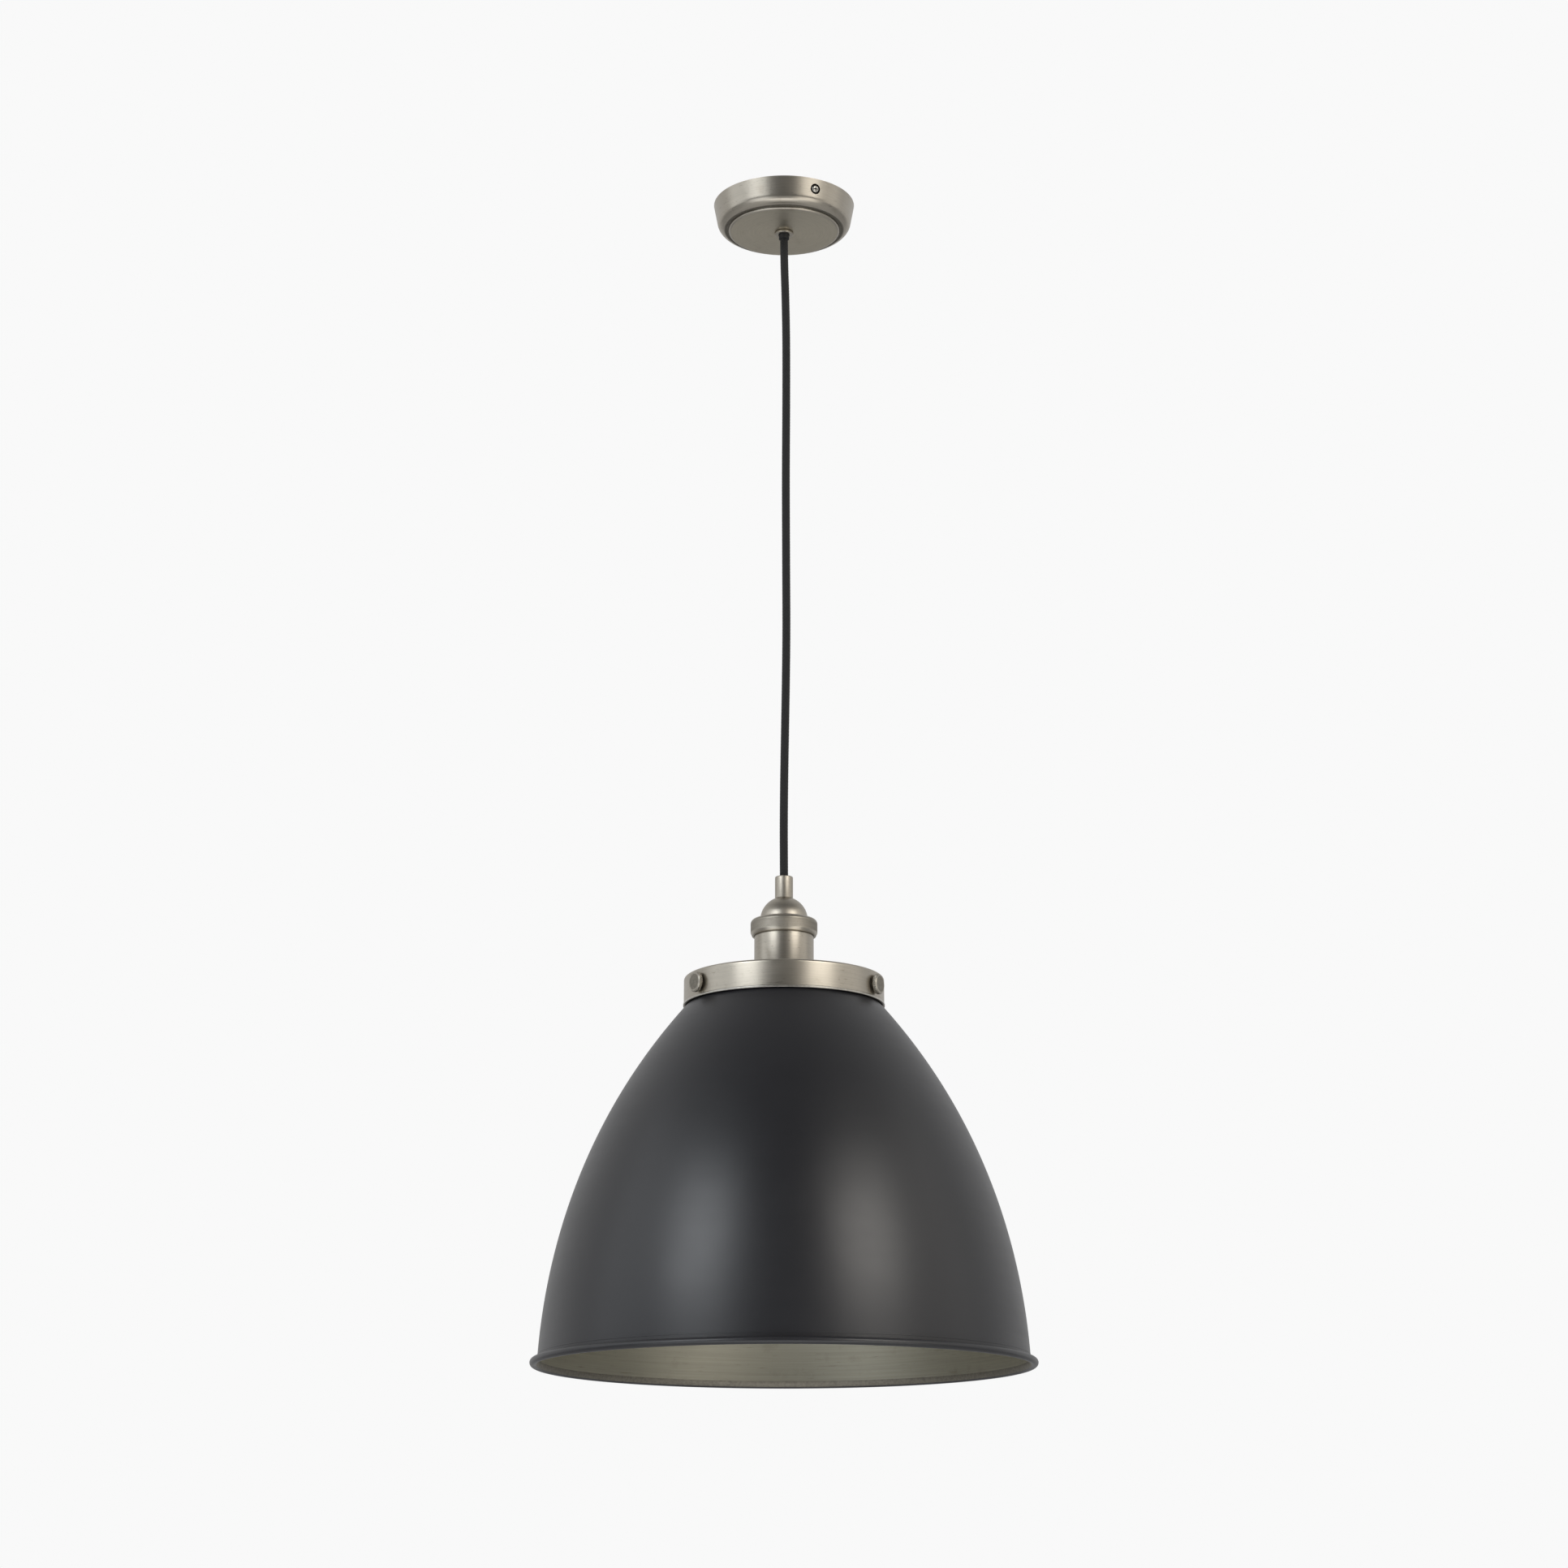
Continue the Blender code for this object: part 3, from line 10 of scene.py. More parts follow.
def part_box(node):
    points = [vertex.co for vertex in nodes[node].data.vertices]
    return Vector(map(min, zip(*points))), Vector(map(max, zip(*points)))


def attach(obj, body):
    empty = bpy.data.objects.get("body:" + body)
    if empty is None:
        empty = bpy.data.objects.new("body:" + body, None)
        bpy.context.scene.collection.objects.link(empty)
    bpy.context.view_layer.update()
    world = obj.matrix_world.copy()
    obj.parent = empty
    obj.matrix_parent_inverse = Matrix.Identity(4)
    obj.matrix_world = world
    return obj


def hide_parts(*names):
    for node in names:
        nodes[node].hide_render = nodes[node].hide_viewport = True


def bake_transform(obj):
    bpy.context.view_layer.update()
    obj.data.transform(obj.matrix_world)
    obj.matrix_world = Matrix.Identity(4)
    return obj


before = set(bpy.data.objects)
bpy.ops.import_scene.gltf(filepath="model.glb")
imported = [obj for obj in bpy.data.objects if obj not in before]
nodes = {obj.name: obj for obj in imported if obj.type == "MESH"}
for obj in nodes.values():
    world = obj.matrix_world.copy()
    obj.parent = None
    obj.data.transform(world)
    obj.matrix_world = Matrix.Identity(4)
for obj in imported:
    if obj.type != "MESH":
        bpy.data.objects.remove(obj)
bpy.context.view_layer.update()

MM = 0.001


def levels(node):
    """A node's lowest and highest level."""
    low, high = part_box(node)
    return low.z, high.z


def reach(node):
    """A round node's outer radius."""
    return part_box(node)[1].x


# ---------------------------------------------------------------- camera

PITCH = 15.215

camera_data = bpy.data.cameras.new("camera")
camera_data.sensor_width = 36.0
camera_data.lens = 74.53
camera_data.clip_start = 0.05
camera_data.clip_end = 100.0
camera = bpy.data.objects.new("camera", camera_data)
camera.location = (0.0, -2.457, -1.1617)
camera.rotation_euler = (math.radians(90.0 + PITCH), 0.0, 0.0)
bpy.context.scene.collection.objects.link(camera)
bpy.context.scene.camera = camera
bpy.context.scene.view_settings.view_transform = "Standard"


# ---------------------------------------------------------------- material nodes


def add(tree, kind, inputs=None, **settings):
    """A node, with its settings, and its inputs set or linked."""
    made = tree.nodes.new(kind)
    for setting, value in settings.items():
        setattr(made, setting, value)
    for socket, value in (inputs or {}).items():
        if isinstance(value, bpy.types.NodeSocket):
            tree.links.new(value, made.inputs[socket])
        else:
            made.inputs[socket].default_value = value
    return made


def calculate(tree, operation, first, second=0.0, third=0.0):
    """The result of a Math node. Only MULTIPLY_ADD takes a third value."""
    inputs = {0: first, 1: second}
    if operation == "MULTIPLY_ADD":
        inputs[2] = third
    return add(tree, "ShaderNodeMath", inputs, operation=operation).outputs[0]


def remap(tree, value, low, high, new_low, new_high):
    """A value moved smoothly from one range to another, and held at both ends."""
    inputs = {"Value": value, "From Min": low, "From Max": high, "To Min": new_low, "To Max": new_high}
    return add(tree, "ShaderNodeMapRange", inputs, interpolation_type="SMOOTHSTEP").outputs[0]


def blended(tree, share, first, second):
    """A colour between two."""
    mix = add(tree, "ShaderNodeMix", data_type="RGBA")
    for socket, value in ((mix.inputs[0], share), (mix.inputs[6], first), (mix.inputs[7], second)):
        if isinstance(value, bpy.types.NodeSocket):
            tree.links.new(value, socket)
        else:
            socket.default_value = (*value, 1.0) if isinstance(value, tuple) else value
    return mix.outputs[2]


def place(tree):
    """A point of the object."""
    return add(tree, "ShaderNodeTexCoord").outputs["Object"]


def cloud(tree, vector, scale, detail=3.0, roughness=0.5):
    """Soft noise from 0 to 1."""
    inputs = {"Vector": vector, "Scale": scale, "Detail": detail, "Roughness": roughness}
    return add(tree, "ShaderNodeTexNoise", inputs).outputs[0]


SMALLEST_RADIUS = 0.5 * MM


def brushed(tree, fine, run):
    """Noise drawn out round the light's axis. fine is its scale across the marks, per metre, and run is its
    scale along them, for a turn of one radian."""
    parts = add(tree, "ShaderNodeSeparateXYZ", {0: place(tree)}).outputs
    x_squared = calculate(tree, "POWER", parts[0], 2.0)
    y_squared = calculate(tree, "POWER", parts[1], 2.0)
    squared = calculate(tree, "ADD", x_squared, y_squared)
    radius = calculate(tree, "MAXIMUM", calculate(tree, "SQRT", squared), SMALLEST_RADIUS)
    turn_x = calculate(tree, "MULTIPLY", calculate(tree, "DIVIDE", parts[0], radius), run)
    turn_y = calculate(tree, "MULTIPLY", calculate(tree, "DIVIDE", parts[1], radius), run)
    outwards = calculate(tree, "MULTIPLY", radius, fine)
    upwards = calculate(tree, "MULTIPLY", parts[2], fine)
    vector = add(tree, "ShaderNodeCombineXYZ", {0: turn_x, 1: turn_y, 2: outwards}).outputs[0]
    inputs = {"Vector": vector, "W": upwards, "Scale": 1.0, "Detail": 4.0, "Roughness": 0.6}
    return add(tree, "ShaderNodeTexNoise", inputs, noise_dimensions="4D").outputs[0]


def finish(name, colour, metallic, roughness, bump=None, bump_depth=0.0, **constants):
    """A Principled material. Colour and roughness are functions of the node tree, or constants, and bump is a
    function that gives a height."""
    made = bpy.data.materials.new(name)
    made.use_nodes = True
    tree = made.node_tree
    shader = tree.nodes["Principled BSDF"]
    shader.inputs["Metallic"].default_value = metallic
    for socket, value in (("Base Color", colour), ("Roughness", roughness)):
        if callable(value):
            tree.links.new(value(tree), shader.inputs[socket])
        elif isinstance(value, tuple):
            shader.inputs[socket].default_value = (*value, 1.0)
        else:
            shader.inputs[socket].default_value = value
    if bump:
        inputs = {"Height": bump(tree), "Distance": bump_depth, "Strength": 1.0}
        tree.links.new(add(tree, "ShaderNodeBump", inputs).outputs[0], shader.inputs["Normal"])
    for socket, value in constants.items():
        shader.inputs[socket.replace("_", " ")].default_value = value
    return made


def brushed_metal(name, colour, roughness, fine=2200.0, patina=0.5, patina_colour=(0.20, 0.15, 0.10)):
    """Turned metal with brush marks round the axis, and with darker smudges, specks and scratches."""
    darker = tuple(0.93 * c for c in colour)
    lighter = tuple(min(1.0, 1.06 * c) for c in colour)

    def paint(tree):
        marks = remap(tree, brushed(tree, fine, 2.5), 0.30, 0.70, 0.0, 1.0)
        base = blended(tree, marks, darker, lighter)
        broad = remap(tree, cloud(tree, place(tree), 55.0, 5.0, 0.62), 0.56, 0.74, 0.0, 0.55 * patina)
        base = blended(tree, broad, base, patina_colour)
        specks = remap(tree, cloud(tree, place(tree), 420.0, 3.0, 0.6), 0.64, 0.76, 0.0, 0.45 * patina)
        base = blended(tree, specks, base, patina_colour)
        scratches = remap(tree, brushed(tree, 1100.0, 9.0), 0.62, 0.70, 0.0, patina)
        return blended(tree, scratches, base, tuple(0.6 * c for c in patina_colour))

    def polish(tree):
        marks = calculate(tree, "MULTIPLY", brushed(tree, 1.4 * fine, 4.0), 0.12)
        worn = calculate(tree, "MULTIPLY", cloud(tree, place(tree), 40.0, 4.0, 0.6), 0.12)
        return calculate(tree, "ADD", calculate(tree, "ADD", marks, worn), roughness - 0.12)

    def marks_height(tree):
        return brushed(tree, fine, 6.0)

    return finish(name, paint, 1.0, polish, marks_height, 0.006 * MM, Anisotropic=0.35)


def plain_metal(name, colour, roughness):
    """Cast, plated or drawn metal with faint stains."""
    scale = 500.0

    def paint(tree):
        stains = remap(tree, cloud(tree, place(tree), scale, 4.0, 0.6), 0.35, 0.75, 0.0, 1.0)
        return blended(tree, stains, colour, tuple(0.72 * c for c in colour))

    def polish(tree):
        spots = cloud(tree, place(tree), 0.4 * scale, 4.0)
        return calculate(tree, "MULTIPLY_ADD", spots, 0.2, roughness - 0.1)

    def skin(tree):
        return cloud(tree, place(tree), 4 * scale, 2.0)

    return finish(name, paint, 1.0, polish, skin, 0.01 * MM)


def moulded(name, colour, roughness, scale=900.0, **constants):
    """Moulded plastic or glazed ceramic with a faint mottle and a fine skin."""
    darker = tuple(0.90 * c for c in colour)
    lighter = tuple(min(1.0, 1.06 * c) for c in colour)

    def paint(tree):
        mottle = remap(tree, cloud(tree, place(tree), scale, 3.0), 0.3, 0.7, 0.0, 1.0)
        return blended(tree, mottle, darker, lighter)

    def polish(tree):
        spots = cloud(tree, place(tree), 0.3 * scale, 3.0)
        return calculate(tree, "MULTIPLY_ADD", spots, 0.14, roughness - 0.07)

    def skin(tree):
        return cloud(tree, place(tree), 3 * scale, 2.0)

    return finish(name, paint, 0.0, polish, skin, 0.006 * MM, **constants)


def lacquer(name):
    """Satin charcoal lacquer over spun metal: a very fine skin, faint spinning rings and handling marks."""

    def paint(tree):
        drift = cloud(tree, place(tree), 9.0, 4.0, 0.55)
        base = blended(tree, drift, (0.0086, 0.0087, 0.0114), (0.0122, 0.0124, 0.0156))
        grain = remap(tree, cloud(tree, place(tree), 1600.0, 2.0), 0.62, 0.80, 0.0, 0.35)
        return blended(tree, grain, base, (0.038, 0.038, 0.040))

    def polish(tree):
        rings = calculate(tree, "MULTIPLY", brushed(tree, 160.0, 1.5), 0.05)
        hands = calculate(tree, "MULTIPLY", cloud(tree, place(tree), 22.0, 5.0, 0.6), 0.09)
        return calculate(tree, "ADD", calculate(tree, "ADD", rings, hands), 0.300)

    def skin(tree):
        powder = cloud(tree, place(tree), 2600.0, 2.0)
        rings = calculate(tree, "MULTIPLY", brushed(tree, 220.0, 1.2), 0.8)
        return calculate(tree, "ADD", powder, rings)

    return finish(name, paint, 0.0, polish, skin, 0.012 * MM, Specular_IOR_Level=0.68)


CARRIERS = 8
FINE_CARRIERS = 40


def braid(name):
    """Black braided yarn, laid by the tube's own coordinates: U is turns and V is lengths of one girth."""

    def strands(tree, carriers):
        """The phases of two families of crossing strands."""
        parts = add(tree, "ShaderNodeSeparateXYZ", {0: add(tree, "ShaderNodeTexCoord").outputs["UV"]}).outputs
        u = calculate(tree, "MULTIPLY", parts[0], carriers * math.pi)
        v = calculate(tree, "MULTIPLY", parts[1], carriers * math.pi)
        right = calculate(tree, "ADD", u, v)
        left = calculate(tree, "SUBTRACT", u, v)
        return right, left

    def weave(tree):
        """The height of the weave, whose strands lie over and under each other by turns."""
        right, left = strands(tree, CARRIERS)
        over = calculate(tree, "MULTIPLY", calculate(tree, "SINE", right), calculate(tree, "SINE", left))
        share = remap(tree, over, -0.25, 0.25, 0.0, 1.0)
        first = calculate(tree, "ABSOLUTE", calculate(tree, "COSINE", right))
        second = calculate(tree, "ABSOLUTE", calculate(tree, "COSINE", left))
        fine_right, fine_left = strands(tree, FINE_CARRIERS)
        fine_first = calculate(tree, "MULTIPLY_ADD", calculate(tree, "SINE", fine_left), 0.16, first)
        fine_second = calculate(tree, "MULTIPLY_ADD", calculate(tree, "SINE", fine_right), 0.16, second)
        mixed = add(tree, "ShaderNodeMix", {0: share, 2: fine_second, 3: fine_first}, data_type="FLOAT")
        return mixed.outputs[0]

    def paint(tree):
        lint = remap(tree, cloud(tree, place(tree), 700.0, 3.0), 0.55, 0.8, 0.0, 0.5)
        # The yarn is painted darker where the weave runs low between strands: painted shade in the creases.
        yarn = blended(tree, weave(tree), (0.003, 0.003, 0.0035), (0.013, 0.013, 0.014))
        return blended(tree, lint, yarn, (0.026, 0.0255, 0.025))

    return finish(name, paint, 0.0, 0.88, weave, 0.16 * MM, Sheen_Weight=0.16, Sheen_Roughness=0.5)


def glass_finish(name):
    """Clear blown glass, a little wavy."""

    def polish(tree):
        return calculate(tree, "MULTIPLY", cloud(tree, place(tree), 60.0, 3.0), 0.05)

    def waves(tree):
        return cloud(tree, place(tree), 45.0, 2.0)

    return finish(
        name, (0.97, 0.98, 0.98), 0.0, polish, waves, 0.04 * MM, Transmission_Weight=1.0, IOR=1.47
    )


pewter = brushed_metal("pewter", (0.45, 0.415, 0.355), 0.31)
pewter_disc = brushed_metal("pewter_disc", (0.50, 0.46, 0.375), 0.42, patina=0.35)
pewter_smooth = brushed_metal("pewter_smooth", (0.45, 0.415, 0.355), 0.39, patina=0.12)
# Darker pewter on the lock ring's knurled band: painted shade among the teeth.
pewter_knurl_painted_shade = brushed_metal("pewter_knurl_painted_shade", (0.33, 0.305, 0.26), 0.38, patina=0.3)
# Darker pewter in the canopy's groove: painted shade.
pewter_groove_painted_shade = plain_metal("pewter_groove_painted_shade", (0.21, 0.195, 0.165), 0.48)
# Lighter pewter: a painted highlight on the canopy screw heads and the gallery's lower bead.
pewter_painted_highlight = plain_metal("pewter_painted_highlight", (0.56, 0.54, 0.49), 0.32)
# Near-black pewter: painted shade in the screw dishes, the cross recesses and the ring behind each screw
# head.
pewter_painted_shade = plain_metal("pewter_painted_shade", (0.035, 0.031, 0.027), 0.62)
pewter_knob = plain_metal("pewter_knob", (0.46, 0.43, 0.37), 0.42)
# Darker pewter on the thumb knobs' outer faces: painted shade.
pewter_face_painted_shade = plain_metal("pewter_face_painted_shade", (0.27, 0.25, 0.21), 0.46)
spun_inside = brushed_metal("spun_inside", (0.385, 0.37, 0.305), 0.46, 900.0, 0.40, (0.20, 0.18, 0.135))
# A darker copy of the inside finish for the hollow under the rim's curl: painted shade.
spun_lip_painted_shade = plain_metal("spun_lip_painted_shade", (0.23, 0.215, 0.18), 0.54)
charcoal = lacquer("charcoal")
fabric = braid("fabric")
zinc = plain_metal("zinc", (0.60, 0.61, 0.62), 0.36)
brass = plain_metal("brass", (0.72, 0.52, 0.24), 0.30)
plastic = moulded("plastic", (0.018, 0.018, 0.020), 0.42)
nylon = moulded("nylon", (0.78, 0.77, 0.72), 0.48, Subsurface_Weight=0.08)
porcelain = moulded("porcelain", (0.82, 0.81, 0.77), 0.20, 300.0, Coat_Weight=0.5)
core_brown = moulded("core_brown", (0.20, 0.08, 0.03), 0.42)
core_blue = moulded("core_blue", (0.03, 0.12, 0.45), 0.42)
core_green = moulded("core_green", (0.17, 0.42, 0.08), 0.42)
clear_glass = glass_finish("clear_glass")
amber_wire = moulded("amber_wire", (0.85, 0.55, 0.20), 0.40)


# ---------------------------------------------------------------- outlines in the (radius, height) plane


def arc(centre, radius, start, end, steps=8):
    """Points on an arc, with angles in degrees from +radius towards +Z."""
    angles = [math.radians(start + (end - start) * k / steps) for k in range(steps + 1)]
    return [(centre[0] + radius * math.cos(a), centre[1] + radius * math.sin(a)) for a in angles]


def bezier(start, first, second, end, steps):
    """Points along a cubic curve."""
    t = np.linspace(0.0, 1.0, steps + 1)[:, None]
    corners = [np.array(c, float) for c in (start, first, second, end)]
    curve = (1 - t) ** 3 * corners[0] + 3 * t * (1 - t) ** 2 * corners[1]
    curve = curve + 3 * t * t * (1 - t) * corners[2] + t**3 * corners[3]
    return [tuple(p) for p in curve]


def rounded(corners, fillet, steps=3, closed=True):
    """The outline with its corners rounded by a fillet, or by the third number of a corner."""
    count = len(corners)
    made = []
    for k, corner in enumerate(corners):
        here = Vector(corner[:2])
        size = corner[2] if len(corner) > 2 else fillet
        if (not closed and k in (0, count - 1)) or size <= 0:
            made.append(tuple(here))
            continue
        before = Vector(corners[k - 1][:2]) - here
        after = Vector(corners[(k + 1) % count][:2]) - here
        half = before.angle(after) / 2
        back = min(size / math.tan(half), 0.49 * before.length, 0.49 * after.length)
        start = here + before.normalized() * back
        end = here + after.normalized() * back
        for step in range(steps + 1):
            t = step / steps
            made.append(tuple((1 - t) ** 2 * start + 2 * t * (1 - t) * here + t * t * end))
    return made


def stretch(start, end, spacing):
    """Points along a straight line, its ends included."""
    count = max(1, round((Vector(end) - Vector(start)).length / spacing))
    return [tuple(Vector(start).lerp(Vector(end), k / count)) for k in range(count + 1)]


# ---------------------------------------------------------------- mesh pieces


SHARP = 32.0


def piece(name, mesh, finishes, body, *stands_for, slot=None, sharp=SHARP):
    """An object for a mesh, riding on a body, in place of CAD nodes, with edges crisp above an angle."""
    for surface in finishes if isinstance(finishes, list) else [finishes]:
        mesh.materials.append(surface)
    mesh.shade_smooth()
    mesh.set_sharp_from_angle(angle=math.radians(sharp))
    made = bpy.data.objects.new(name, mesh)
    bpy.context.scene.collection.objects.link(made)
    if body:
        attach(made, body)
    if stands_for:
        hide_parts(*stands_for)
    return made


def closed_mesh(name, bm):
    """A mesh from bmesh with doubles welded and faces turned out."""
    bmesh.ops.remove_doubles(bm, verts=bm.verts, dist=1e-7)
    bmesh.ops.recalc_face_normals(bm, faces=bm.faces)
    if bm.calc_volume(signed=True) < 0:
        bmesh.ops.reverse_faces(bm, faces=bm.faces)
    mesh = bpy.data.meshes.new(name)
    bm.to_mesh(mesh)
    bm.free()
    return mesh


def turned(name, outline, segments, kinds=None, relief=None):
    """A solid of revolution. kinds gives a material number for each run of the outline, and relief gives a
    change in radius from the radius, height and turn."""
    points = np.array(outline, float)
    angles = np.arange(segments) * (2 * math.pi / segments)
    radius = np.repeat(points[None, :, 0], segments, 0)
    height = np.repeat(points[None, :, 1], segments, 0)
    around = np.repeat(angles[:, None], len(points), 1)
    if relief:
        radius = radius + relief(radius, height, around)
    verts = np.stack([radius * np.cos(around), radius * np.sin(around), height], -1).reshape(-1, 3)
    count = len(points)
    open_ended = points[0, 0] < 1e-9 and points[-1, 0] < 1e-9
    faces, numbers = [], []
    for k in range(count - 1 if open_ended else count):
        j = (k + 1) % count
        for s in range(segments):
            n = (s + 1) % segments
            faces.append((s * count + k, n * count + k, n * count + j, s * count + j))
        numbers += [kinds[k] if kinds else 0] * segments
    bm = bmesh.new()
    made = [bm.verts.new(v) for v in verts]
    for corners, number in zip(faces, numbers):
        face = bm.faces.new([made[i] for i in corners])
        face.material_index = number
    return closed_mesh(name, bm)


def kinds_beyond(outline, radius):
    """Material numbers for an outline: 1 for the runs that lie wholly beyond a radius, 0 for the others."""
    runs = zip(outline, outline[1:] + outline[:1])
    return [1 if min(first[0], second[0]) > radius else 0 for first, second in runs]


def cut(target, tool_mesh, place_tool=None):
    """Take a solid away from a piece, and keep the result as the piece's own mesh."""
    tool = bpy.data.objects.new("cutter", tool_mesh)
    bpy.context.scene.collection.objects.link(tool)
    if place_tool is not None:
        tool.matrix_world = place_tool
    change = target.modifiers.new("cut", "BOOLEAN")
    change.operation = "DIFFERENCE"
    change.object = tool
    change.solver = "EXACT"
    bpy.context.view_layer.update()
    depsgraph = bpy.context.evaluated_depsgraph_get()
    made = bpy.data.meshes.new_from_object(target.evaluated_get(depsgraph))
    target.modifiers.remove(change)
    target.data = made
    made.set_sharp_from_angle(angle=math.radians(SHARP))
    bpy.data.objects.remove(tool)


def outward(azimuth, radius, height, dip=0.0, out=0.0):
    """A matrix that points +Z away from the axis, dipping by an angle. Azimuths run from the front to +X."""
    angle = math.radians(azimuth)
    level = Vector((math.sin(angle), -math.cos(angle), 0.0))
    way = level * math.cos(dip) - Vector((0, 0, math.sin(dip)))
    spot = level * radius + Vector((0, 0, height)) + way * out
    return Matrix.Translation(spot) @ way.to_track_quat("Z", "Y").to_matrix().to_4x4()


def cross_mesh(name, arm, width, low, high):
    """A plus-shaped prism that narrows towards its bottom, for a cross recess."""
    bm = bmesh.new()
    rings = []
    for level, share in ((low, 0.55), (high, 1.15)):
        corners = []
        for quarter in range(4):
            for x, y in ((arm * share, -width / 2), (arm * share, width / 2), (width / 2, width / 2)):
                for _ in range(quarter):
                    x, y = -y, x
                corners.append(bm.verts.new((x, y, level)))
        rings.append(corners)
    bm.faces.new(rings[0])
    bm.faces.new(rings[1])
    for k in range(12):
        j = (k + 1) % 12
        bm.faces.new((rings[0][k], rings[0][j], rings[1][j], rings[1][k]))
    return closed_mesh(name, bm)


# ---------------------------------------------------------------- flex

FLEX_RADIUS = reach("cord_inner")
GIRTH = 2 * math.pi * FLEX_RADIUS
BRAID_DEPTH = 0.11 * MM
BRAID_SIDES = 48
BRAID_SPACING = 0.43 * MM


def smooth_route(points, spacing):
    """Points a steady distance apart on a smooth curve through the given ones."""
    ends = [2 * Vector(points[0]) - Vector(points[1]), 2 * Vector(points[-1]) - Vector(points[-2])]
    held = [ends[0]] + [Vector(p) for p in points] + [ends[1]]
    route = [held[1]]
    for a, b, c, d in zip(held, held[1:], held[2:], held[3:]):
        steps = max(1, round((c - b).length / spacing))
        for k in range(1, steps + 1):
            t = k / steps
            spot = 2 * b + (c - a) * t
            spot += (2 * a - 5 * b + 4 * c - d) * t**2 + (3 * b - a - 3 * c + d) * t**3
            route.append(spot / 2)
    return route


def braided_tube(name, route, shares=1.0):
    """A braided tube with closed ends along a nearly upright route, at given shares of its full radius."""
    sides = BRAID_SIDES
    spots = np.array([tuple(p) for p in route])
    runs = np.linalg.norm(np.diff(spots, axis=0), axis=1)
    length = np.concatenate([[0.0], np.cumsum(runs)])
    tangent = np.gradient(spots, axis=0)
    tangent /= np.linalg.norm(tangent, axis=1)[:, None]
    side = np.cross(np.array([0.0, 1.0, 0.0]), tangent)
    side /= np.linalg.norm(side, axis=1)[:, None]
    front = np.cross(tangent, side)
    around = np.arange(sides) * (2 * math.pi / sides)
    right = CARRIERS / 2 * around[None, :] + CARRIERS * math.pi * length[:, None] / GIRTH
    left = CARRIERS / 2 * around[None, :] - CARRIERS * math.pi * length[:, None] / GIRTH
    over = np.clip(0.5 + 2.0 * np.sin(right) * np.sin(left), 0, 1)
    lift = over * np.abs(np.cos(right)) + (1 - over) * np.abs(np.cos(left))
    radius = (FLEX_RADIUS - BRAID_DEPTH * (1 - lift)) * np.reshape(shares, (-1, 1))
    rings = spots[:, None, :] + radius[..., None] * (
        np.cos(around)[None, :, None] * side[:, None, :] + np.sin(around)[None, :, None] * front[:, None, :]
    )
    bm = bmesh.new()
    layer = bm.loops.layers.uv.new("UVMap")
    verts = [[bm.verts.new(p) for p in ring] for ring in rings]
    for k in range(len(verts) - 1):
        for s in range(sides):
            n = (s + 1) % sides
            face = bm.faces.new((verts[k][s], verts[k][n], verts[k + 1][n], verts[k + 1][s]))
            for loop, (row, turn) in zip(face.loops, ((k, s), (k, s + 1), (k + 1, s + 1), (k + 1, s))):
                loop[layer].uv = (turn / sides, length[row] / GIRTH)
    for ring in (verts[0], verts[-1]):
        bm.faces.new(ring)
    return closed_mesh(name, bm)


def upright(high, low):
    """A straight route down the axis."""
    count = round((high - low) / BRAID_SPACING)
    return [(0.0, 0.0, high + (low - high) * k / count) for k in range(count + 1)]


def elbow(name, level, body, node):
    """A braided ball at a bend, which keeps the flex whole when its two sides turn."""
    steps = 24
    snug = 0.97
    smallest = 0.03
    heights = [FLEX_RADIUS * math.cos(math.pi * k / steps) for k in range(steps + 1)]
    shares = [max(smallest, math.sqrt(1 - (h / FLEX_RADIUS) ** 2)) for h in heights]
    route = [(0.0, 0.0, level + snug * h) for h in heights]
    piece(name, braided_tube(name, route, snug * np.array(shares)), fabric, body, node, slot="fabric")


mouth = levels("cord_upper")[1]
entry = levels("cord_lower")[0]
# Shares of the way down the free flex, and how far it stands off the axis there, in mm
sway = [
    (0.00, 0.0), (0.04, 0.3), (0.10, 1.2), (0.17, 1.8), (0.27, 1.8), (0.39, 1.5), (0.52, 1.7),
    (0.62, 1.9), (0.70, 1.5), (0.77, 0.9), (0.85, 0.2), (0.92, -0.15), (0.97, -0.1), (1.00, 0.0),
]
held_points = [(x * MM, 0.0, mouth + (entry - mouth) * share) for share, x in sway]
flex_mesh = braided_tube("flex", smooth_route(held_points, BRAID_SPACING))
flex = piece("flex", flex_mesh, fabric, None, slot="fabric")
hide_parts("cord_upper", "cord_lower")
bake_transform(flex)
[tuple(p) for p in smooth_route(held_points, 16.25 * MM)]
elbow("flex_gland_bend", mouth, "flex_in_gland", "cord_gland_bend")
elbow("flex_ferrule_bend", entry, "flex_in_ferrule", "cord_ferrule_bend")
for name, high, low, body, node in (
    ("flex_in_canopy", levels("cord_inner")[1], mouth, "canopy", "cord_inner"),
    ("flex_in_holder", entry, levels("cord_holder_inner")[0], "lamp", "cord_holder_inner"),
):
    piece(name, braided_tube(name, upright(high, low)), fabric, body, node, slot="fabric")


# ---------------------------------------------------------------- canopy

CUP_TOP = levels("canopy_cup")[1]
CUP_FLOOR = levels("canopy_cup")[0]
TAPER = 0.19
CUP_RADIUS = reach("canopy_cup") - TAPER * CUP_TOP
SHOULDER = 8.0 * MM
STEP = 2.0 * MM
CUP_WALL = 1.2 * MM
CUP_HOLE = 5.75 * MM
TILT = math.atan(TAPER)
PLAIN, DISC, DISH, GROOVE = range(4)


def cup_radius_at(height):
    """The cup's outer radius on its tapered wall."""
    return CUP_RADIUS + TAPER * height


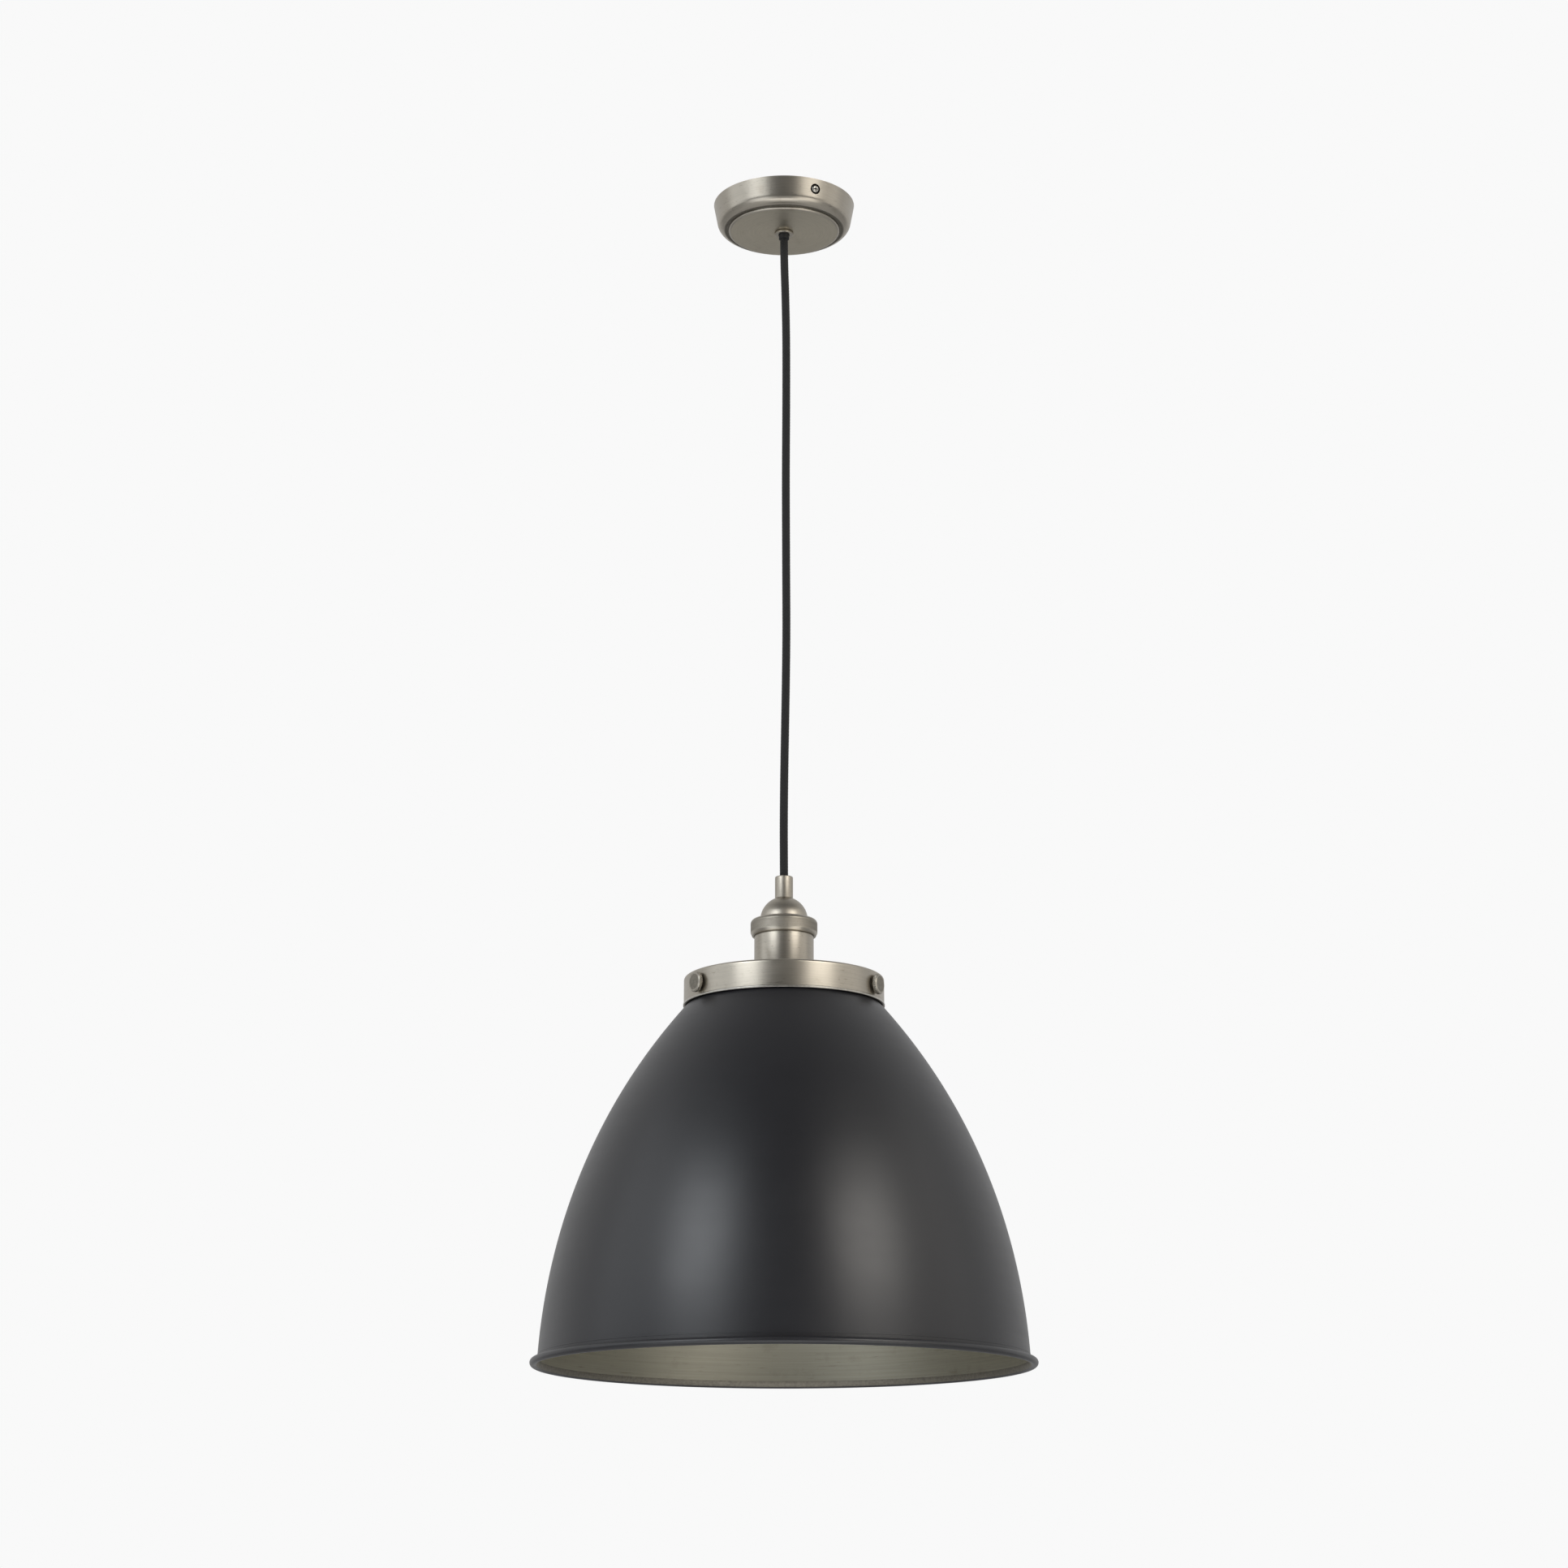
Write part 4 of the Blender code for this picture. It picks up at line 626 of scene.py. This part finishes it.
def make_cup():
    """The cup: tapered wall, rounded shoulder, a groove and a raised disc, each with its own finish; the
    groove's darker finish is painted shade, and so is the finish of the screw dishes cut later.
    """
    shelf = CUP_FLOOR + STEP
    wall_end = shelf + SHOULDER * (1 - math.sin(TILT))
    centre = (cup_radius_at(wall_end) - SHOULDER * math.cos(TILT), shelf + SHOULDER)
    disc = centre[0] - 1.35 * MM
    groove = disc + 2.4 * MM
    end = math.degrees(math.acos((groove - centre[0]) / SHOULDER))
    wall = stretch((cup_radius_at(CUP_TOP), CUP_TOP), (cup_radius_at(wall_end), wall_end), 1.2 * MM)
    shoulder = arc(centre, SHOULDER, -math.degrees(TILT), -end, 18)
    lip = rounded(
        [
            shoulder[-1],
            (groove - 0.15 * MM, shelf + 0.25 * MM, 0.2 * MM),
            (groove - 0.8 * MM, shelf + 0.75 * MM, 0.25 * MM),
            (disc + 0.1 * MM, shelf + 0.75 * MM, 0.2 * MM),
            (disc, shelf + 0.3 * MM, 0.2 * MM),
        ],
        0.2 * MM,
        closed=False,
    )[1:]
    edge = 1.9 * MM
    rim = arc((disc - edge, CUP_FLOOR + edge), edge, 0, -90, 10)
    face = stretch((disc - edge, CUP_FLOOR), (CUP_HOLE, CUP_FLOOR), 4.0 * MM)[1:]
    outside = wall + shoulder[1:] + lip + rim + face
    inner = SHOULDER - CUP_WALL
    inside = [(CUP_HOLE, CUP_FLOOR + CUP_WALL), (disc - 2.0 * MM, CUP_FLOOR + CUP_WALL)]
    inside += [(disc - 1.0 * MM, shelf + CUP_WALL + 0.4 * MM), (centre[0], shelf + CUP_WALL)]
    inside += arc(centre, inner, -85, -math.degrees(TILT), 10)
    inside += [(cup_radius_at(CUP_TOP) - CUP_WALL / math.cos(TILT), CUP_TOP)]
    kinds = [PLAIN] * len(outside + inside)
    # The groove's runs take the darker pewter: painted shade.
    groove_start = len(wall + shoulder[1:]) - 3
    for k in range(groove_start, len(wall + shoulder[1:] + lip) - 1):
        kinds[k] = GROOVE
    first_face = len(wall + shoulder[1:] + lip + rim) - 1
    for k in range(first_face, len(outside)):
        kinds[k] = DISC
    mesh = turned("canopy_cup_body", outside + inside, 240, kinds)
    cup_finishes = [pewter, pewter_disc, pewter_painted_shade, pewter_groove_painted_shade]
    return piece("canopy_cup_body", mesh, cup_finishes, "canopy", "canopy_cup", slot="pewter")


cup = make_cup()
CUP_DEPTH = 23.7 * MM
SCREW_DROP = 0.35 * CUP_DEPTH
SCREW_AZIMUTH = 27.0
SEAT = 1.6 * MM
for number, node in enumerate(("canopy_screw_front", "canopy_screw_back")):
    azimuth = SCREW_AZIMUTH + 180.0 * number
    spot = outward(azimuth, cup_radius_at(-SCREW_DROP), -SCREW_DROP, TILT, -SEAT)
    dish = [(0.0, 0.0), (2.7 * MM, 0.0), (3.5 * MM, 0.25 * MM), (4.05 * MM, 0.8 * MM), (4.3 * MM, 1.7 * MM)]
    dish += [(4.75 * MM, 2.6 * MM), (0.0, 2.6 * MM)]
    # The dish faces take painted shade.
    cut(cup, turned("dish", dish, 48, [DISH] * len(dish)), spot)
    screw_hole = [(0.0, -6 * MM), (2.05 * MM, -6 * MM), (2.05 * MM, 2 * MM), (0.0, 2 * MM)]
    cut(cup, turned("bore", screw_hole, 32), spot)
    head = rounded(
        [(0.0, -8.0 * MM), (1.75 * MM, -8.0 * MM), (1.75 * MM, 0.0, 0.15 * MM), (2.9 * MM, 0.0, 0.25 * MM)]
        + [(2.9 * MM, 0.75 * MM, 0.2 * MM)]
        + bezier((2.9 * MM, 0.85 * MM), (2.9 * MM, 1.5 * MM), (2.2 * MM, 1.9 * MM), (1.3 * MM, 1.9 * MM), 8)
        + [(0.0, 1.9 * MM)],
        0.0,
        closed=False,
    )
    name = node + "_head"
    # The head takes a painted highlight.
    screw = piece(name, turned(name, head, 64), [pewter_painted_highlight, pewter_painted_shade], None, slot="pewter")
    cross = cross_mesh("cross", 1.9 * MM, 0.85 * MM, 0.7 * MM, 2.3 * MM)
    # The cross recess's faces take painted shade.
    for face in cross.polygons:
        face.material_index = 1
    cut(screw, cross)
    screw.data.transform(spot @ Matrix.Translation((0, 0, 0.3 * MM)))
    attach(screw, "canopy")
    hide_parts(node)
    # A dark ring behind the gap round each screw head: painted shade, not a part of the object.
    shade_ring_outline = [(2.1 * MM, -1.5 * MM), (4.3 * MM, -1.5 * MM), (4.3 * MM, -0.02 * MM), (2.1 * MM, -0.02 * MM)]
    shade_ring_mesh = turned(node + "_shade_ring", rounded(shade_ring_outline, 0.15 * MM), 48)
    shade_ring_mesh.transform(spot)
    piece(node + "_shade_ring", shade_ring_mesh, pewter_painted_shade, "canopy", slot="pewter")


# ---------------------------------------------------------------- gland

tube_low, tube_top = levels("gland_tube")
gland_radius = reach("gland_tube")
gland_hole = 4.55 * MM
gland = rounded(
    [
        (gland_hole, tube_top),
        (gland_hole, tube_low, 0.3 * MM),
        (gland_radius - 0.1 * MM, tube_low, 0.8 * MM),
        (gland_radius, tube_low + 2.0 * MM, 0.35 * MM),
        (5.45 * MM, tube_low + 2.0 * MM, 0.1 * MM),
        (5.45 * MM, tube_top, 0.2 * MM),
    ],
    0.1 * MM,
    5,
)
piece("gland_flange", turned("gland_flange", gland, 96), pewter, "canopy", "gland_tube", slot="pewter")
bush_low, bush_top = levels("gland_bushing")
bush = rounded(
    [
        (3.6 * MM, bush_top),
        (3.6 * MM, bush_low + 0.6 * MM, 0.4 * MM),
        (3.95 * MM, bush_low, 0.15 * MM),
        (4.25 * MM, bush_low, 0.25 * MM),
        (4.25 * MM, bush_top - 0.9 * MM, 0.05 * MM),
        (5.45 * MM, bush_top - 0.9 * MM, 0.1 * MM),
        (5.45 * MM, bush_top, 0.2 * MM),
    ],
    0.1 * MM,
    4,
)
piece("gland_bush", turned("gland_bush", bush, 72), plastic, "canopy", "gland_bushing", slot="plastic")


# ---------------------------------------------------------------- lampholder

ferrule_low, ferrule_top = levels("ferrule")
FERRULE = 7.0 * MM
FERRULE_HEIGHT = 17.6 * MM
ferrule_foot = ferrule_top - FERRULE_HEIGHT
ferrule_outline = rounded(
    [
        (3.6 * MM, ferrule_low),
        (4.9 * MM, ferrule_low, 0.2 * MM),
        (4.9 * MM, ferrule_foot, 0.0),
        (FERRULE, ferrule_foot, 0.35 * MM),
        (FERRULE, ferrule_top, 1.1 * MM),
        (4.5 * MM, ferrule_top, 0.4 * MM),
        (3.6 * MM, ferrule_top - 1.4 * MM, 0.3 * MM),
    ],
    0.1 * MM,
    5,
)
ferrule_mesh = turned("ferrule_body", ferrule_outline, 96)
ferrule = piece("ferrule_body", ferrule_mesh, pewter_smooth, "lamp", "ferrule", slot="pewter")
grub_hole = [(0.0, 0.0), (1.8 * MM, 0.0), (1.8 * MM, 12 * MM), (0.0, 12 * MM)]
grub_spot = outward(180, 1.0 * MM, ferrule_top - 0.65 * FERRULE_HEIGHT)
cut(ferrule, turned("drill", grub_hole, 24), grub_spot)

dome_low, dome_top = levels("dome_cap")
DOME = 18.5 * MM
DOME_WALL = 1.5 * MM
DOME_HOLE = 5.2 * MM
DOME_FLAT = 7.75 * MM
dome_centre = dome_top - math.sqrt(DOME**2 - DOME_FLAT**2)
dome_foot = dome_centre - 1.5 * MM
DOME_FLANGE = 22.4 * MM
dome_inside = DOME - DOME_WALL
dome_under = dome_top - DOME_WALL
dome_start = math.degrees(math.acos(DOME_FLAT / DOME))
dome_end = math.degrees(math.asin((dome_under - dome_centre) / dome_inside))
dome_outline = (
    [(DOME_HOLE, dome_top), (DOME_FLAT - 0.25 * MM, dome_top)]
    + arc((0.0, dome_centre), DOME, dome_start - 1.0, 0, 30)
    + [(DOME, dome_foot), (DOME_FLANGE, dome_foot), (DOME_FLANGE, dome_low), (dome_inside, dome_low)]
    + arc((0.0, dome_centre), dome_inside, 0, dome_end, 16)
    + [(DOME_HOLE, dome_under)]
)
piece("dome", turned("dome", dome_outline, 144), pewter_smooth, "lamp", "dome_cap", slot="pewter")

ring_low, ring_top = levels("lock_ring")
RING = reach("lock_ring")
RING_LIP = 18.8 * MM
RING_HOLE = 23.3 * MM
RING_PLATE = 1.5 * MM
RING_SHOULDER = 3.4 * MM
KNURL_TEETH = 120
KNURL_DEPTH = 0.24 * MM
knurl_top = ring_top - 3.5 * MM
knurl_low = ring_low + 2.7 * MM


def diamond_knurl(radius, height, around):
    """Two families of crossing grooves on the ring's straight band."""
    pitch = 2 * math.pi * RING / KNURL_TEETH
    turns = around * KNURL_TEETH / (2 * math.pi)
    rise = height / pitch
    right = np.abs(np.mod(turns + rise, 1.0) - 0.5) * 2
    left = np.abs(np.mod(turns - rise, 1.0) - 0.5) * 2
    groove = np.maximum(right, left) ** 3
    close = 0.01 * MM
    band = (radius > RING - close) & (height < knurl_top + close) & (height > knurl_low - close)
    fade = np.clip(np.minimum(knurl_top - height, height - knurl_low) / (0.35 * MM), 0, 1)
    return -KNURL_DEPTH * groove * band * fade


ring_mouth = [(RING_LIP, ring_top - RING_PLATE), (RING_LIP, ring_top - 0.25 * MM)]
ring_mouth += [(RING_LIP + 0.25 * MM, ring_top)]
ring_bend = (RING - RING_SHOULDER, ring_top - RING_SHOULDER)
ring_foot = [
    (RING, knurl_low - 0.1 * MM, 0.0),
    (RING - 1.2 * MM, ring_low + 0.05 * MM, 0.5 * MM),
    (RING_HOLE, ring_low, 0.0),
]
ring_outline = (
    ring_mouth
    + arc(ring_bend, RING_SHOULDER, 90, 0, 14)
    + stretch((RING, knurl_top), (RING, knurl_low), 0.24 * MM)
    + rounded(ring_foot, 0, 4)
    + [(RING_HOLE, ring_top - RING_PLATE)]
)
# The knurled band takes the darker pewter: painted shade.
ring_kinds = kinds_beyond(ring_outline, RING - 0.6 * MM)
ring_mesh = turned("lock_ring_body", ring_outline, KNURL_TEETH * 6, ring_kinds, diamond_knurl)
ring_finishes = [pewter, pewter_knurl_painted_shade]
piece("lock_ring_body", ring_mesh, ring_finishes, "ring", "lock_ring", slot="pewter", sharp=50)

sleeve_low, sleeve_top = levels("holder_sleeve")
SLEEVE = reach("holder_sleeve")
SLEEVE_WALL = 1.2 * MM
PLATE_HOLE = 20.4 * MM
sleeve_outline = rounded(
    [
        (SLEEVE, sleeve_top, 0.3 * MM),
        (SLEEVE, sleeve_low, 0.5 * MM),
        (PLATE_HOLE, sleeve_low, 0.1 * MM),
        (PLATE_HOLE, sleeve_low + SLEEVE_WALL, 0.1 * MM),
        (SLEEVE - SLEEVE_WALL, sleeve_low + SLEEVE_WALL, 0.0),
        (SLEEVE - SLEEVE_WALL, sleeve_top, 0.3 * MM),
    ],
    0.1 * MM,
    4,
)
piece("sleeve", turned("sleeve", sleeve_outline, 144), pewter, "lamp", "holder_sleeve", slot="pewter")


# ---------------------------------------------------------------- gallery and thumb screws

gallery_low, gallery_top = levels("gallery")
GALLERY = 77.2 * MM
GALLERY_HEIGHT = 21.8 * MM
GALLERY_WALL = 1.2 * MM
GALLERY_BEAD = 0.48 * MM
gallery_inside = GALLERY - GALLERY_WALL
gallery_under = gallery_top - GALLERY_WALL
gallery_outline = rounded(
    [
        (PLATE_HOLE, gallery_top, 0.1 * MM),
        (SLEEVE + 1.6 * MM, gallery_top, 0.1 * MM),
        (GALLERY, gallery_top, 2.2 * MM),
        (GALLERY, gallery_low + 1.9 * MM, 0.25 * MM),
        (GALLERY + GALLERY_BEAD, gallery_low + 1.35 * MM, 0.25 * MM),
        (GALLERY + GALLERY_BEAD, gallery_low, 0.35 * MM),
        (gallery_inside, gallery_low, 0.2 * MM),
        (gallery_inside, gallery_under, 1.0 * MM),
        (PLATE_HOLE, gallery_under, 0.1 * MM),
    ],
    0.1 * MM,
    7,
)
# The gallery's lower bead takes the lighter pewter: a painted highlight.
gallery_kinds = kinds_beyond(gallery_outline, GALLERY + 0.1 * MM)
gallery_mesh = turned("gallery_body", gallery_outline, 288, gallery_kinds)
gallery_finishes = [pewter, pewter_painted_highlight]
gallery = piece("gallery_body", gallery_mesh, gallery_finishes, "lamp", "gallery", slot="pewter")

RIDGES = 40
RIDGE_DEPTH = 0.34 * MM
KNOB = 7.78 * MM
RIDGED_FROM = 7.70 * MM
THUMB_LEVEL = gallery_top - 0.514 * GALLERY_HEIGHT
THUMB_AZIMUTHS = (-56.5, 63.5, 183.5)


def ridges(radius, height, around):
    """Straight knurling on a knob's edge."""
    wave = np.abs(np.mod(around * RIDGES / (2 * math.pi), 1.0) - 0.5) * 2
    band = radius > RIDGED_FROM
    return -RIDGE_DEPTH * wave**2 * band


for number, azimuth in enumerate(THUMB_AZIMUTHS, 1):
    stem_hole = [(0.0, -4 * MM), (2.3 * MM, -4 * MM), (2.3 * MM, 4 * MM), (0.0, 4 * MM)]
    cut(gallery, turned("drill", stem_hole, 32), outward(azimuth, GALLERY, THUMB_LEVEL))
    knob_outline = rounded(
        [
            (0.0, -2.2 * MM),
            (2.0 * MM, -2.2 * MM, 0.3 * MM),
            (2.0 * MM, 0.0, 0.0),
            (3.5 * MM, 0.0, 0.2 * MM),
            (3.5 * MM, 0.8 * MM, 0.15 * MM),
            (6.9 * MM, 0.8 * MM, 0.2 * MM),
            (KNOB, 1.5 * MM, 0.25 * MM),
            (KNOB, 3.7 * MM, 0.25 * MM),
            (7.0 * MM, 4.4 * MM, 0.25 * MM),
            (6.0 * MM, 4.4 * MM, 0.0),
            (0.0, 4.4 * MM),
        ],
        0.1 * MM,
        4,
        closed=False,
    )
    name = f"thumb_knob_{number}"
    # The knob's outer face takes the darker pewter: painted shade.
    knob_kinds = [0] * len(knob_outline)
    knob_kinds[-2] = 1
    knob_mesh = turned(name, knob_outline, RIDGES * 6, knob_kinds, ridges)
    knob_mesh.transform(outward(azimuth, GALLERY + 0.3 * MM, THUMB_LEVEL))
    knob_finishes = [pewter_knob, pewter_face_painted_shade]
    piece(name, knob_mesh, knob_finishes, f"thumb_{number}", f"thumb_screw_{number}", slot="pewter")


# ---------------------------------------------------------------- shade

shade_top = levels("shade")[1]
NECK = 74.7 * MM
RIM = 184.26 * MM
SHADE_HEIGHT = 269.0 * MM
SHADE_WALL = 1.0 * MM
shade_end = gallery_low - SHADE_HEIGHT
bell_start = (NECK + 0.36 * MM, gallery_low)
growth = RIM - bell_start[0]
bell = bezier(
    bell_start,
    (bell_start[0] + 0.780 * growth, gallery_low - 0.362 * SHADE_HEIGHT),
    (bell_start[0] + 0.964 * growth, gallery_low - 0.755 * SHADE_HEIGHT),
    (RIM, shade_end),
    72,
)


def moved_in(outline, distance):
    """The outline moved towards the inside of a bell that runs down from its neck."""
    points = np.array(outline)
    way = np.gradient(points, axis=0)
    way /= np.linalg.norm(way, axis=1)[:, None]
    return [tuple(p) for p in points + distance * np.stack([way[:, 1], -way[:, 0]], 1)]


shade_neck = [(NECK, shade_top), (NECK, gallery_low + 2.0 * MM), (NECK + 0.1 * MM, gallery_low + 1.0 * MM)]
shade_outside = shade_neck + bell
shade_inside = moved_in(shade_outside, SHADE_WALL)[::-1]
shade_inside[-1] = (NECK - SHADE_WALL, shade_top)
shade_kinds = [0] * len(shade_outside) + [1] * len(shade_inside)
shade_mesh = turned("shade_bell", shade_outside + shade_inside, 288, shade_kinds)
piece("shade_bell", shade_mesh, [charcoal, spun_inside], "lamp", "shade", slot="charcoal")

bead_centre = (RIM + 2.95 * MM, shade_end - 2.85 * MM)
BEAD = 2.75 * MM
curl = arc(bead_centre, BEAD, 128, -100, 30)
turn_in = arc(bead_centre, BEAD, -100, -145, 6)
hollow = bezier(
    turn_in[-1],
    (RIM - 0.45 * MM, shade_end - 2.8 * MM),
    (RIM - 0.88 * MM, shade_end - 0.8 * MM),
    (RIM - 0.98 * MM, shade_end + 1.2 * MM),
    10,
)
closing = [(RIM - 0.5 * MM, shade_end + 1.2 * MM), (RIM + 0.1 * MM, shade_end - 0.6 * MM)]
bead_outline = curl + turn_in[1:] + hollow[1:] + closing
# The hollow under the curl takes the darker metal: painted shade.
hollow_start = len(curl) + len(turn_in) - 2
hollow_end = len(bead_outline) - 3
bead_kinds = [1 if hollow_start <= k < hollow_end else 0 for k in range(len(bead_outline))]
bead_mesh = turned("shade_bead", bead_outline, 288, bead_kinds)
piece("shade_bead", bead_mesh, [charcoal, spun_lip_painted_shade], "lamp", slot="charcoal")
hem = rounded(
    [
        (RIM - 0.75 * MM, shade_end + 3.6 * MM),
        (RIM - 0.09 * MM, shade_end + 3.3 * MM),
        (RIM - 0.05 * MM, shade_end + 2.6 * MM),
        (RIM - 0.70 * MM, shade_end + 2.3 * MM),
    ],
    0.12 * MM,
    3,
)
piece("shade_hem", turned("shade_hem", hem, 288), charcoal, "lamp", slot="charcoal")


# ---------------------------------------------------------------- bulb

glass_low = levels("bulb_glass")[0]
cap_low, cap_high = levels("bulb_cap")
BULB = 30.0 * MM
GLASS = 0.8 * MM
THROAT = 12.05 * MM
throat_top = cap_low + 5.0 * MM
curve_handle = 9.0 * MM
bulb_centre = (0.0, glass_low + BULB)
join_angle = math.radians(40)
join = (BULB * math.cos(join_angle), bulb_centre[1] + BULB * math.sin(join_angle))
swell = bezier(
    (THROAT, cap_low - 0.5 * MM),
    (THROAT + 0.4 * MM, cap_low - curve_handle),
    (join[0] - curve_handle * math.sin(join_angle), join[1] + curve_handle * math.cos(join_angle)),
    join,
    20,
)
bulb_outer = [(THROAT, throat_top)] + swell + arc(bulb_centre, BULB, 38, -90, 40)
bulb_outer[-1] = (0.0, glass_low)
bulb_inner = [(max(0.0, r), z) for r, z in moved_in(bulb_outer, GLASS)][::-1]
bulb_inner[0] = (0.0, glass_low + GLASS)
bulb_inner[-1] = (THROAT - GLASS, throat_top)


def bulb_mesh():
    """The envelope: a shell that is closed across the axis at its foot and open at its neck."""
    bm = bmesh.new()
    for run in (bulb_outer, bulb_inner):
        points = [bm.verts.new((radius, 0.0, height)) for radius, height in run]
        edges = [bm.edges.new(pair) for pair in zip(points, points[1:])]
        whole_turn = {"angle": 2 * math.pi, "steps": 96, "use_merge": True}
        bmesh.ops.spin(bm, geom=points + edges, cent=(0, 0, 0), axis=(0, 0, 1), **whole_turn)
    bmesh.ops.remove_doubles(bm, verts=bm.verts, dist=1e-7)
    bmesh.ops.bridge_loops(bm, edges=[edge for edge in bm.edges if edge.is_boundary])
    return closed_mesh("bulb_envelope", bm)


piece("bulb_envelope", bulb_mesh(), clear_glass, "bulb", "bulb_glass", slot="glass")


def rippled(name, radius, low, high, turns, depth, wall):
    """A thin drawn sleeve with a running thread rolled into it."""
    steps = turns * 16
    outline = [(radius, high)]
    outline += [(radius, high - (high - low) * k / steps) for k in range(1, steps)]
    outline += [(radius, low), (radius - wall, low), (radius - wall, high)]

    def thread(radii, heights, around):
        pitch = (high - low) / (turns + 1)
        phase = heights / pitch + around / (2 * math.pi)
        ends = np.clip(np.minimum(high - heights, heights - low) / (0.6 * pitch), 0, 1)
        return -depth * (0.5 + 0.5 * np.cos(2 * math.pi * phase)) * ends * (radii > radius - 0.5 * wall)

    return turned(name, outline, 96, None, thread)


thread_mesh = rippled("bulb_cap_thread", 13.1 * MM, cap_low, cap_high - 2.2 * MM, 5, 0.35 * MM, 0.75 * MM)
piece("bulb_cap_thread", thread_mesh, zinc, "bulb", "bulb_cap", slot="zinc")
crown_corners = [(13.0 * MM, cap_high - 2.3 * MM), (10.4 * MM, cap_high)]
crown_corners += [(10.0 * MM, cap_high), (12.4 * MM, cap_high - 2.5 * MM)]
crown = rounded(crown_corners, 0.1 * MM)
piece("bulb_cap_crown", turned("bulb_cap_crown", crown, 96), zinc, "bulb", slot="zinc")


# ---------------------------------------------------------------- carried-over CAD nodes

carried = {
    "ceiling_bracket": zinc,
    "gland_nut": zinc,
    "cord_grip": nylon,
    "cord_grip_screw": brass,
    "terminal_block": nylon,
    "terminal_screw_live": brass,
    "terminal_screw_neutral": brass,
    "block_screw": brass,
    "earth_screw": brass,
    "wire_live": core_brown,
    "wire_neutral": core_blue,
    "wire_earth": core_green,
    "ferrule_grub_screw": zinc,
    "holder_nut": zinc,
    "holder_insulator": porcelain,
    "screw_shell": brass,
    "centre_contact": brass,
    "holder_screw_live": brass,
    "holder_screw_neutral": brass,
    "holder_screw_earth": brass,
    "holder_wire_live": core_brown,
    "holder_wire_neutral": core_blue,
    "holder_wire_earth": core_green,
    "shade_nut": plastic,
    "bulb_insulator": plastic,
    "bulb_contact": brass,
    "bulb_stem": clear_glass,
    "bulb_filament": amber_wire,
}
for name, made in carried.items():
    node = nodes[name]
    node.data.materials.clear()
    node.data.materials.append(made)


# ---------------------------------------------------------------- studio

AIM_LEVEL = -0.75
FLOOR_LEVEL = -3.2
BACKDROP_TONE = 0.947
FLOOR_TONE = 0.84
COOL = (0.93, 0.965, 1.0)
WARM = (1.0, 0.965, 0.91)
NEUTRAL = (1.0, 1.0, 1.0)


def softbox(name, azimuth, rise, distance, size, radiance, colour):
    """A soft rectangular light that faces the shade from an azimuth and a rise, in degrees."""
    data = bpy.data.lights.new(name, "AREA")
    data.shape = "RECTANGLE"
    data.size, data.size_y = size
    data.energy = radiance * math.pi * size[0] * size[1]
    data.color = colour
    made = bpy.data.objects.new(name, data)
    way = Matrix.Rotation(math.radians(azimuth), 3, "Z") @ Vector(
        (0.0, -math.cos(math.radians(rise)), math.sin(math.radians(rise)))
    )
    made.location = Vector((0.0, 0.0, AIM_LEVEL)) + distance * way
    made.rotation_mode = "QUATERNION"
    made.rotation_quaternion = way.to_track_quat("Z", "Y")
    made.visible_camera = False
    bpy.context.scene.collection.objects.link(made)


softbox("left_softbox", -43.0, 27.5, 4.5, (2.25, 1.85), 4.4, COOL)
softbox("right_softbox", 43.0, 27.5, 4.5, (2.25, 1.85), 4.3, WARM)
softbox("left_low_strip", -42.0, -15.0, 2.8, (1.65, 1.85), 1.30, COOL)
softbox("right_low_strip", 42.0, -15.0, 2.8, (1.65, 1.85), 1.45, WARM)
softbox("left_side_fill", -80.0, 22.0, 2.9, (1.70, 2.20), 0.8, COOL)
softbox("right_side_fill", 80.0, 22.0, 2.9, (1.70, 2.20), 0.55, WARM)
softbox("front_low_fill", 0.0, -42.0, 2.1, (2.20, 1.00), 1.1, NEUTRAL)


def seen_by_camera(tree, lighting, seen):
    """A shader that the camera sees plain, while light and reflections get another."""
    rays = add(tree, "ShaderNodeLightPath").outputs["Is Camera Ray"]
    return add(tree, "ShaderNodeMixShader", {0: rays, 1: lighting, 2: seen}).outputs[0]


world = bpy.data.worlds.new("studio")
world.use_nodes = True
bpy.context.scene.world = world
sky = world.node_tree
sky_seen = add(sky, "ShaderNodeBackground", {"Color": (*[BACKDROP_TONE] * 3, 1.0), "Strength": 1.0})
sky_ways = add(sky, "ShaderNodeSeparateXYZ", {0: add(sky, "ShaderNodeTexCoord").outputs["Generated"]}).outputs
sky_share = remap(sky, sky_ways[1], -0.55, 0.65, 0.09, 0.64)
sky_grey = blended(sky, sky_share, (0, 0, 0), (1, 1, 1))
sky_fill = add(sky, "ShaderNodeBackground", {"Color": sky_grey, "Strength": 1.0})
sky_shown = seen_by_camera(sky, sky_fill.outputs[0], sky_seen.outputs[0])
sky.links.new(sky_shown, sky.nodes["World Output"].inputs["Surface"])

floor_grid = bmesh.new()
bmesh.ops.create_grid(floor_grid, x_segments=8, y_segments=8, size=12.0)
floor_mesh = bpy.data.meshes.new("floor")
floor_grid.to_mesh(floor_mesh)
floor_grid.free()
floor = bpy.data.objects.new("floor", floor_mesh)
floor.location = (0, 0, FLOOR_LEVEL)
floor_paint = finish("floor_paint", (0.80, 0.80, 0.80), 0.0, 0.8)
ground = floor_paint.node_tree
plain = add(ground, "ShaderNodeEmission", {"Color": (*[FLOOR_TONE] * 3, 1.0), "Strength": 1.0})
painted = ground.nodes["Principled BSDF"].outputs[0]
floor_shown = seen_by_camera(ground, painted, plain.outputs[0])
ground.links.new(floor_shown, ground.nodes["Material Output"].inputs["Surface"])
floor_mesh.materials.append(floor_paint)
bpy.context.scene.collection.objects.link(floor)
